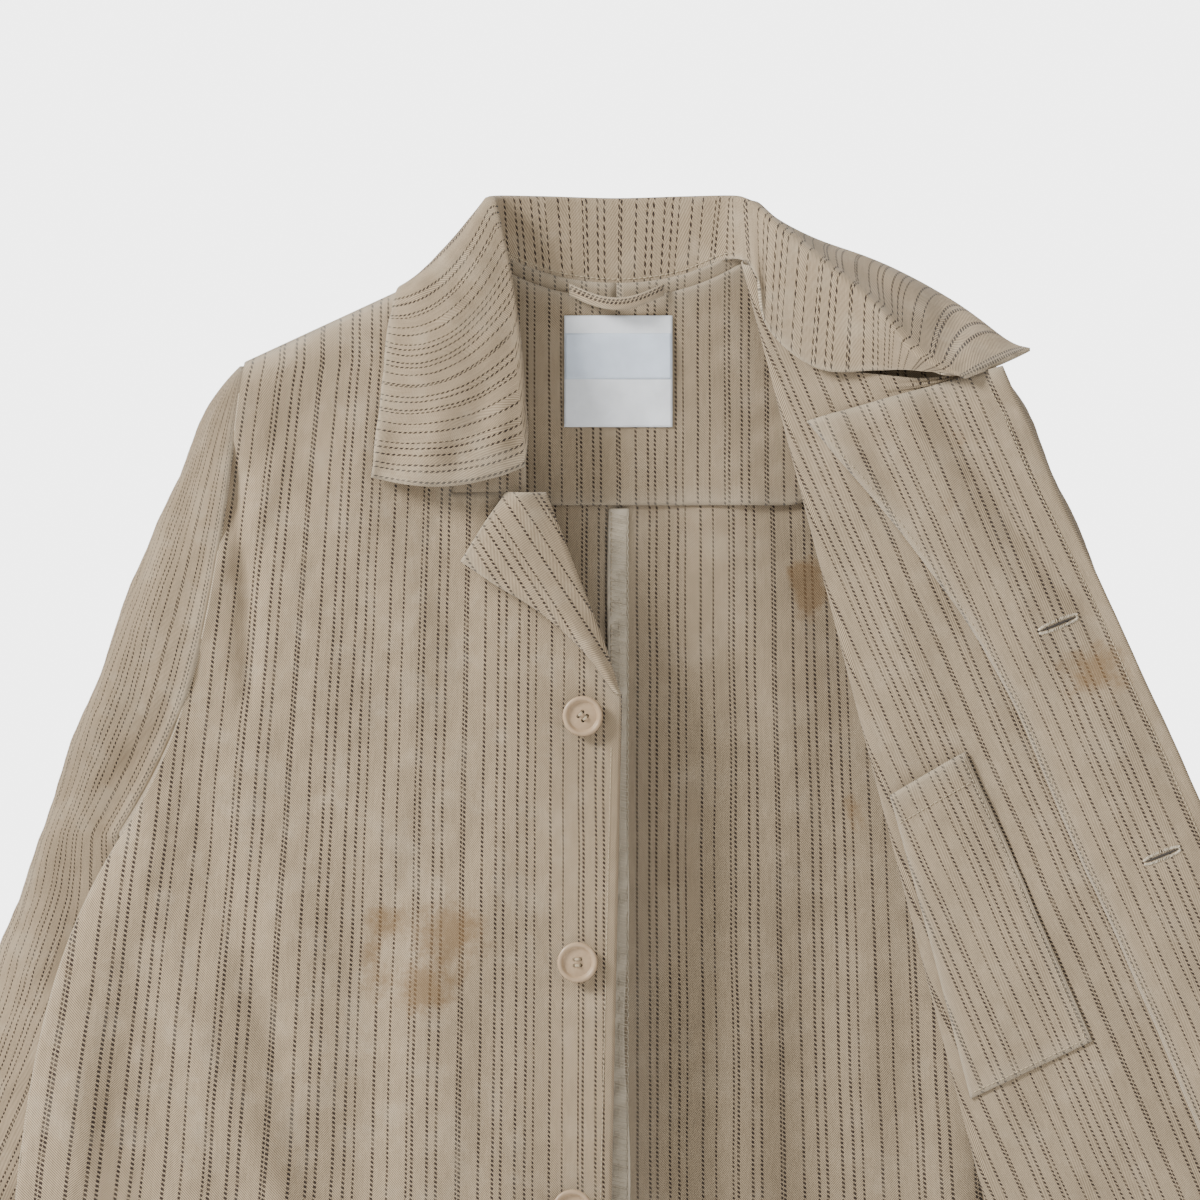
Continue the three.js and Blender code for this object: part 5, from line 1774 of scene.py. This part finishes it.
@dataclass(frozen=True)
class Sleeve:
    """One sleeve: a two-part tube that hangs from the armhole.

    Attributes:
        side: 1 for the wearer's left, -1 for the right.
        name: the side's name.
    """

    side: int
    name: str

    SPLIT = -0.335
    CUFF = -0.6126

    @staticmethod
    def _profile(z: Array) -> dict[str, Array]:
        """Sizes of the sleeve's outline at height z."""
        fall = np.maximum(0, -0.049 - z)
        outer = 0.223 + 0.018 * (1 - np.exp(-fall / 0.025)) + 0.365 * fall
        near = smooth((-z - 0.240) / 0.091)
        taper = clamp((-z - 0.431) / 0.18163)
        half = lerp(0.078, 0.060, taper)
        below = clamp((-0.331 - z) / 0.100)
        armpit = BODY.half_width(np.maximum(z, -0.331)) + 0.004 * near
        middle = lerp(armpit, outer - half, smooth(below))
        x = BODY.half_width(z)
        front, back = BODY.front_y(x, z), BODY.back_y(x, z)
        depth = lerp(lerp((back - front) / 2, 0.016, near), lerp(0.028, 0.022, taper), smooth(below))
        y = lerp(lerp((back + front) / 2, 0.024, near), 0.040, smooth(below))
        return {
            "outer": outer, "middle": middle, "depth": depth, "y": y,
            "inner": half * smooth(1.25 * below)
        }

    def _height(self, v: Array) -> Array:
        """Height of the row with share v of the whole sleeve."""
        return lerp(-0.0515, self.CUFF, v)

    def _folds(self, angle: Array, z: Array) -> Array:
        """How far the sleeve's cloth stands out."""
        lower = smooth((-z - 0.12) / 0.2)
        turn = angle / math.pi
        waves = 0.0032 * np.sin(angle * 3 + 7 * z + 0.6 * self.side) * lower
        inside = smooth((math.pi * 0.9 - np.abs(angle - math.pi * 0.5)) / 2 - 0.35)
        elbow = 0.0016 * bell((z + 0.40) / 0.10) * np.sin(
            z * 95 + 2.6 * angle + self.side
        ) * (1 - 0.7 * inside)
        head = -0.0036 * bell((z + 0.11 + 0.03 * np.cos(angle)) / 0.03) * bell((turn - 0.62) / 0.3)
        uneven = (
            0.0009 * ripple(angle * 0.06, z * 0.7, 0.05, 101 + self.side)
            + 0.0003 * ripple(angle * 0.06, z, 0.018, 107)
        )
        return waves + elbow + head + uneven

    def top(self, u: Array, v: Array) -> Array:
        """The outer half, from the back seam over the top to the front seam."""
        z = self._height(v)
        s = self._profile(z)
        angle = lerp(math.pi / 2, -math.pi / 2, u)
        bulge = self._folds(angle + math.pi / 2, z) * smooth((self._height(0 * v) - z) / 0.05)
        bulge = bulge * smooth((1 - np.abs(2 * u - 1)) / 0.12 + (z < self.SPLIT) * 1.0)
        reach = s["outer"] - s["middle"] + bulge
        deep = np.maximum(s["depth"] + bulge, 0.002)
        return stack(self.side * (s["middle"] + reach * np.cos(angle)), s["y"] + deep * np.sin(angle), z)

    def under(self, u: Array, v: Array) -> Array:
        """The inner half below the armpit, from the front seam to the back seam."""
        share = self.split + v * (1 - self.split)
        z = self._height(share)
        s = self._profile(z)
        angle = lerp(-math.pi / 2, -3 * math.pi / 2, u)
        at_seam = np.where(u < 0.5, -math.pi / 2, math.pi / 2)
        fade = smooth((-0.345 - z) / 0.05)
        inner_bulge = self._folds(angle + math.pi / 2, z)
        seam_bulge = self._folds(at_seam + math.pi / 2, z) * smooth((self._height(0 * v) - z) / 0.05)
        mix = smooth((1 - np.abs(2 * u - 1)) / 0.3)
        bulge = lerp(seam_bulge, inner_bulge * fade, mix)
        reach = np.maximum(s["inner"] - 0.0006, 0) + bulge * fade
        deep = np.maximum(s["depth"] + bulge, 0.002)
        return stack(self.side * (s["middle"] + reach * np.cos(angle)), s["y"] + deep * np.sin(angle), z)

    @property
    def split(self) -> float:
        """Share of the sleeve's length above the armpit."""
        return round((self.SPLIT + 0.0515) / (self.CUFF + 0.0515) * 150) / 150

    def build(self, wardrobe: Wardrobe) -> None:
        """Makes the sleeve and its cuff stitches."""
        start = round(self.split * 150)

        def grain(u: Array, v: Array) -> Array:
            """Cloth coordinates of the outer half."""
            return np.stack([0.0015 + 0.235 * (u - 0.5) * self.side, 0.62 * v], axis=-1)

        def under_grain(u: Array, v: Array) -> Array:
            """Cloth coordinates of the inner half."""
            return np.stack([0.118 + 0.14 * u, 0.62 * lerp(self.split, 1, v)], axis=-1)

        def cuff(u: Array, v: Array) -> Array:
            """The cuff's cloth, turned up inside."""
            z = self.CUFF + 0.024 * clamp((v - 0.2) / 0.8)
            share = (z + 0.0515) / (self.CUFF + 0.0515)
            low = (share - self.split) / (1 - self.split)
            ring = np.where(
                u[..., None] < 0.5, self.top(clamp(2 * u), share), self.under(clamp(2 * u - 1), low)
            )
            s = self._profile(z)
            inward = 0.0016 * np.sin(clamp(v / 0.2) * math.pi / 2)
            centre = stack(self.side * s["middle"], s["y"], z)
            flat = ring - centre
            flat[..., 2] = 0
            length = np.maximum(np.linalg.norm(flat, axis=-1, keepdims=True), 1e-6)
            out = ring - flat / length * inward[..., None]
            out[..., 2] = z - 0.0009 * np.sin(clamp(v / 0.2) * math.pi)
            return out

        patches = [
            Patch.of(self.top, 60, 150, grain),
            Patch.of(self.under, 44, 150 - start, under_grain),
        ]
        cloth = Cloth(f"sleeve_{self.name}_cloth", patches, 1.5)
        sleeve = cloth.dress(
            wardrobe.outer, "twill", f"sleeve_top_{self.name}", f"sleeve_under_{self.name}"
        )
        self.bend(sleeve)
        turned = Cloth(f"cuff_{self.name}", [Patch.of(cuff, 104, 10)], 1.2)
        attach(turned.dress(wardrobe.inner, "twill_inside"), f"sleeve_{self.name}")
        rows = Stitching(f"sleeve_stitches_{self.name}")
        out = 0.0009 * self.side
        rows.row_on(self.top, (0.01, 0.962), (0.99, 0.962), out)
        rows.row_on(self.under, (0.01, 0.92), (0.99, 0.92), out)
        self.bend(rows.make(wardrobe.thread))

    def bend(self, piece: bpy.types.Object) -> None:
        """Bakes the piece's transform into its mesh."""
        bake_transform(piece)


@dataclass(frozen=True)
class Button:
    """One four-hole button with its sewing thread.

    Attributes:
        number: 1 for the highest button.
        seat: the middle of its back, on the cloth.
    """

    number: int
    seat: tuple[float, float, float]

    RADIUS = 12 * MM
    THICK = 3.6 * MM
    SPREAD = 2.6 * MM
    HOLE = 1.05 * MM
    STANDOFF = 3.8 * MM

    def _profile(self) -> list[tuple[float, float]]:
        """Radius and height of the turned outline, from the middle of the face round to the back."""
        r, t = self.RADIUS, self.THICK
        dish = [
            (0.0, 0.50), (0.2, 0.50), (0.42, 0.49), (0.62, 0.46), (0.69, 0.44), (0.73, 0.55),
            (0.78, 0.84)
        ]
        rim = [
            (0.82, 0.96), (0.88, 1.0), (0.93, 0.96), (0.975, 0.86), (1.0, 0.68), (0.995, 0.48),
            (0.95, 0.28)
        ]
        back = [(0.86, 0.12), (0.74, 0.03), (0.6, 0.0), (0.3, 0.0), (0.0, 0.0)]
        return [(a * r, b * t) for a, b in dish + rim + back]

    def _disc(self) -> bpy.types.Object:
        """Turns the outline and bores the four holes."""
        steps = 96
        mesh = bmesh.new()
        rings = []
        for radius, height in self._profile():
            if radius == 0:
                rings.append([mesh.verts.new((0, 0, height))] * steps)
                continue
            angles = [2 * math.pi * k / steps for k in range(steps)]
            rings.append(
                [mesh.verts.new((radius * math.cos(a), radius * math.sin(a), height)) for a in angles]
            )
        for a, b in zip(rings, rings[1:]):
            for k in range(steps):
                ring = tuple(dict.fromkeys((a[k], a[(k + 1) % steps], b[(k + 1) % steps], b[k])))
                if len(ring) > 2:
                    mesh.faces.new(ring)
        bmesh.ops.recalc_face_normals(mesh, faces=mesh.faces)
        data = bpy.data.meshes.new(f"button_disc_{self.number}")
        mesh.to_mesh(data)
        mesh.free()
        disc = bpy.data.objects.new(f"button_disc_{self.number}", data)
        bpy.context.scene.collection.objects.link(disc)
        for k in range(4):
            cut = self._borer(math.pi / 4 + k * math.pi / 2)
            bore = disc.modifiers.new("hole", "BOOLEAN")
            bore.operation = "DIFFERENCE"
            bore.object = cut
            bpy.context.view_layer.objects.active = disc
            disc.select_set(True)
            bpy.ops.object.modifier_apply(modifier=bore.name)
            spare = cut.data
            bpy.data.objects.remove(cut)
            bpy.data.meshes.remove(spare)
        disc.data.polygons.foreach_set("use_smooth", [True] * len(disc.data.polygons))
        disc.data.set_sharp_from_angle(angle=math.radians(38))
        return disc

    def _borer(self, angle: float) -> bpy.types.Object:
        """A rod that cuts one hole, wider at the face."""
        mesh = bmesh.new()
        bmesh.ops.create_cone(
            mesh, cap_ends=True, segments=24, radius1=self.HOLE, radius2=self.HOLE * 1.25, depth=0.009
        )
        shift = Matrix.Translation((self.SPREAD * math.cos(angle), self.SPREAD * math.sin(angle), 0.0015))
        bmesh.ops.transform(mesh, matrix=shift, verts=mesh.verts)
        data = bpy.data.meshes.new("borer")
        mesh.to_mesh(data)
        mesh.free()
        rod = bpy.data.objects.new("borer", data)
        bpy.context.scene.collection.objects.link(rod)
        return rod

    def build(self, wardrobe: Wardrobe) -> None:
        """Makes the button and the thread that holds it."""
        disc = self._disc()
        back = self.seat[1] - self.STANDOFF
        turn = math.radians((48, 3, 50, 41)[self.number - 1])
        place = Matrix.Translation(
            (self.seat[0], back, self.seat[2])
        ) @ Matrix.Rotation(math.pi / 2, 4, "X")
        place = place @ Matrix.Rotation(turn, 4, "Z")
        disc.data.transform(place)
        disc.data.materials.append(wardrobe.button)
        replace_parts(disc, f"button_{self.number}")
        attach(disc, f"button_{self.number}")
        rows = Stitching(f"button_sewing_{self.number}")
        reach = self.SPREAD / math.sqrt(2)
        face = self.THICK * 0.50
        for side in (-1, 1):
            for k in range(3):
                offset = (k - 1) * 0.00042
                t = np.linspace(0, 1, 9)
                across = lerp(-reach, reach, t)
                height = (
                    face
                    + 0.0004
                    + 0.0009 * np.sin(math.pi * t) ** 0.6
                    - 0.0028 * (np.abs(2 * t - 1) ** 6)
                )
                line = np.stack([across, np.full(9, side * reach + offset), height], -1)
                line = np.array([tuple(place @ Vector(p)) for p in line])
                rows.strand(line, 0.00027)
        for k in range(9):
            angle = 2 * math.pi * k / 9
            t = np.linspace(-1, 1, 7)
            twist = angle + 0.5 * t
            size = 0.0010 + 0.0007 * t**2
            line = np.stack(
                [size * np.cos(twist), size * np.sin(twist), lerp(-0.0026, 0.0006, (t + 1) / 2)], -1
            )
            line = np.array([tuple(place @ Vector(p)) for p in line])
            rows.strand(line, 0.00035)
        thread = rows.make(wardrobe.thread)
        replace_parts(thread, f"button_thread_{self.number}")
        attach(thread, f"button_{self.number}")


BUTTONS = (
    Button(1, (-0.020273, -0.023753, -0.260)),
    Button(2, (-0.023339, -0.029881, -0.406)),
    Button(3, (-0.026405, -0.036010, -0.552)),
    Button(4, (-0.029471, -0.042138, -0.698)),
)


@dataclass(frozen=True)
class Seams:
    """The strips of cloth that close the side, shoulder and armhole seams of one side.

    Attributes:
        side: 1 for the wearer's left, -1 for the right.
        name: the side's name.
    """

    side: int
    name: str

    SHOULDER = -0.0491
    ARMPIT_SHARE = 0.375

    def _body_edge(self, front: bool, share: Array) -> Array:
        """A point of the front's or the back's outer edge, from the shoulder to the hem."""
        one = np.ones_like(share)
        if not front:
            return Back().panel(self.side)(one, share)
        return (LeftFront() if self.side > 0 else RightFront()).side(one, share)

    def side_seam(self, u: Array, v: Array) -> Array:
        """From the front's edge to the back's, below the armpit."""
        share = lerp(self.ARMPIT_SHARE, 1, v)
        ends = self._body_edge(True, share), self._body_edge(False, share)
        p = ends[0] + (ends[1] - ends[0]) * u[..., None]
        p[..., 0] += self.side * 0.0006 * np.sin(math.pi * u)
        return p

    def shoulder_seam(self, u: Array, v: Array) -> Array:
        """From the front to the back, along the shoulder."""
        x = self.side * lerp(0.080, 0.2225, v)
        z = BODY.top_line(np.abs(x)) - 0.0001
        y = lerp(BODY.front_y(x, z), BODY.back_y(x, z), u)
        return stack(x, y, z + 0.0004 * np.sin(math.pi * u))

    def armhole(self, front: bool) -> Surface:
        """From the body's edge to the sleeve's, on the front or the back."""
        sleeve = Sleeve(self.side, self.name)

        def surface(u: Array, v: Array) -> Array:
            """Point of the strip."""
            z = lerp(-0.053, -0.333, v)
            body = self._body_edge(front, (self.SHOULDER - z) / (self.SHOULDER - BODY.hem))
            edge = sleeve.top(np.full_like(v, 1.0 if front else 0.0), (z + 0.0515) / (sleeve.CUFF + 0.0515))
            return body + (edge - body) * u[..., None]

        return surface

    def build(self, wardrobe: Wardrobe) -> None:
        """Makes the strips."""
        for label, surface in (("side", self.side_seam), ("shoulder", self.shoulder_seam)):
            strip = Cloth(f"{label}_seam_{self.name}", [Patch.of(surface, 6, 150)], 1.2)
            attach(strip.dress(wardrobe.outer, "twill"), "body")
        for label, front in (("front", True), ("back", False)):
            strip = Cloth(f"armhole_{label}_{self.name}", [Patch.of(self.armhole(front), 6, 110)], 1.2)
            Sleeve(self.side, self.name).bend(strip.dress(wardrobe.outer, "twill"))


class Studio:
    """Floor, light and camera."""

    FLOOR = -1.12
    LOOK_AT = Vector((-0.010, 0.0, -0.191))
    DISTANCE = 3.2
    SPAN = 0.72
    FLOOR_HALF = 6
    SENSOR = 36
    WORLD_LIGHT, WORLD_SEEN = 0.62, 4.5

    def build(self) -> None:
        """Sets the stage."""
        material, graph, shader = material_of("pale_paper")
        place = graph.node("ShaderNodeTexCoord").outputs["Object"]
        tone = graph.noise(place, 3, 2)
        graph.put(
            graph.mix(graph.span(tone, 0.3, 0.7), (0.95, 0.95, 0.95, 1), (0.97, 0.97, 0.97, 1)),
            shader.inputs["Base Color"]
        )
        shader.inputs["Roughness"].default_value = 0.9
        mesh = bmesh.new()
        around = [
            (x * self.FLOOR_HALF, y * self.FLOOR_HALF)
            for x, y in ((-1, -1), (1, -1), (1, 1), (-1, 1))
        ]
        corners = [mesh.verts.new((x, y, self.FLOOR)) for x, y in around]
        mesh.faces.new(corners)
        data = bpy.data.meshes.new("floor")
        mesh.to_mesh(data)
        mesh.free()
        data.materials.append(material)
        floor = bpy.data.objects.new("floor", data)
        bpy.context.scene.collection.objects.link(floor)
        self._lamp("key", Vector((-2.4, -1.35, 1.4)), 0.9, 190)
        self._lamp("fill", Vector((1.9, -2.2, 0.3)), 2.0, 22)
        self._lamp("rim", Vector((0.3, 1.3, 1.9)), 1.4, 22)
        world = bpy.data.worlds.new("studio")
        bpy.context.scene.world = world
        world.use_nodes = True
        background = world.node_tree.nodes["Background"]
        background.inputs["Color"].default_value = (1, 1, 1, 1)
        paths = world.node_tree.nodes.new("ShaderNodeLightPath")
        level = world.node_tree.nodes.new("ShaderNodeMapRange")
        level.inputs["To Min"].default_value = self.WORLD_LIGHT
        level.inputs["To Max"].default_value = self.WORLD_SEEN
        world.node_tree.links.new(paths.outputs["Is Camera Ray"], level.inputs["Value"])
        world.node_tree.links.new(level.outputs["Result"], background.inputs["Strength"])
        data = bpy.data.cameras.new("camera")
        data.sensor_width = self.SENSOR
        data.lens = self.SENSOR / (2 * (self.SPAN / 2) / self.DISTANCE)
        data.clip_end = 60
        camera = bpy.data.objects.new("camera", data)
        bpy.context.scene.collection.objects.link(camera)
        camera.location = self.LOOK_AT + Vector((0, -self.DISTANCE, 0))
        camera.rotation_euler = (math.pi / 2, 0, 0)
        bpy.context.scene.camera = camera

    def _lamp(self, name: str, place: Vector, size: float, power: float, aim: Vector = LOOK_AT) -> None:
        """Adds a soft square lamp."""
        data = bpy.data.lights.new(name, "AREA")
        data.energy = power
        data.size = size
        lamp = bpy.data.objects.new(name, data)
        bpy.context.scene.collection.objects.link(lamp)
        lamp.location = place
        lamp.rotation_euler = (aim - place).to_track_quat("-Z", "Y").to_euler()


def main() -> None:
    """Builds the jacket, piece by piece, and its stage."""
    logging.basicConfig(level=logging.INFO, format="%(message)s")
    wardrobe = Wardrobe()
    sleeves = [Sleeve(side.value, side.label) for side in Side]
    seams = [Seams(side.value, side.label) for side in Side]
    parts = (Back(), RightFront(), LeftFront(), Collar(), *sleeves, *seams, *BUTTONS)
    for part in parts:
        log.info("building %s", type(part).__name__)
        part.build(wardrobe)
    Studio().build()


if __name__ == "__main__":
    main()
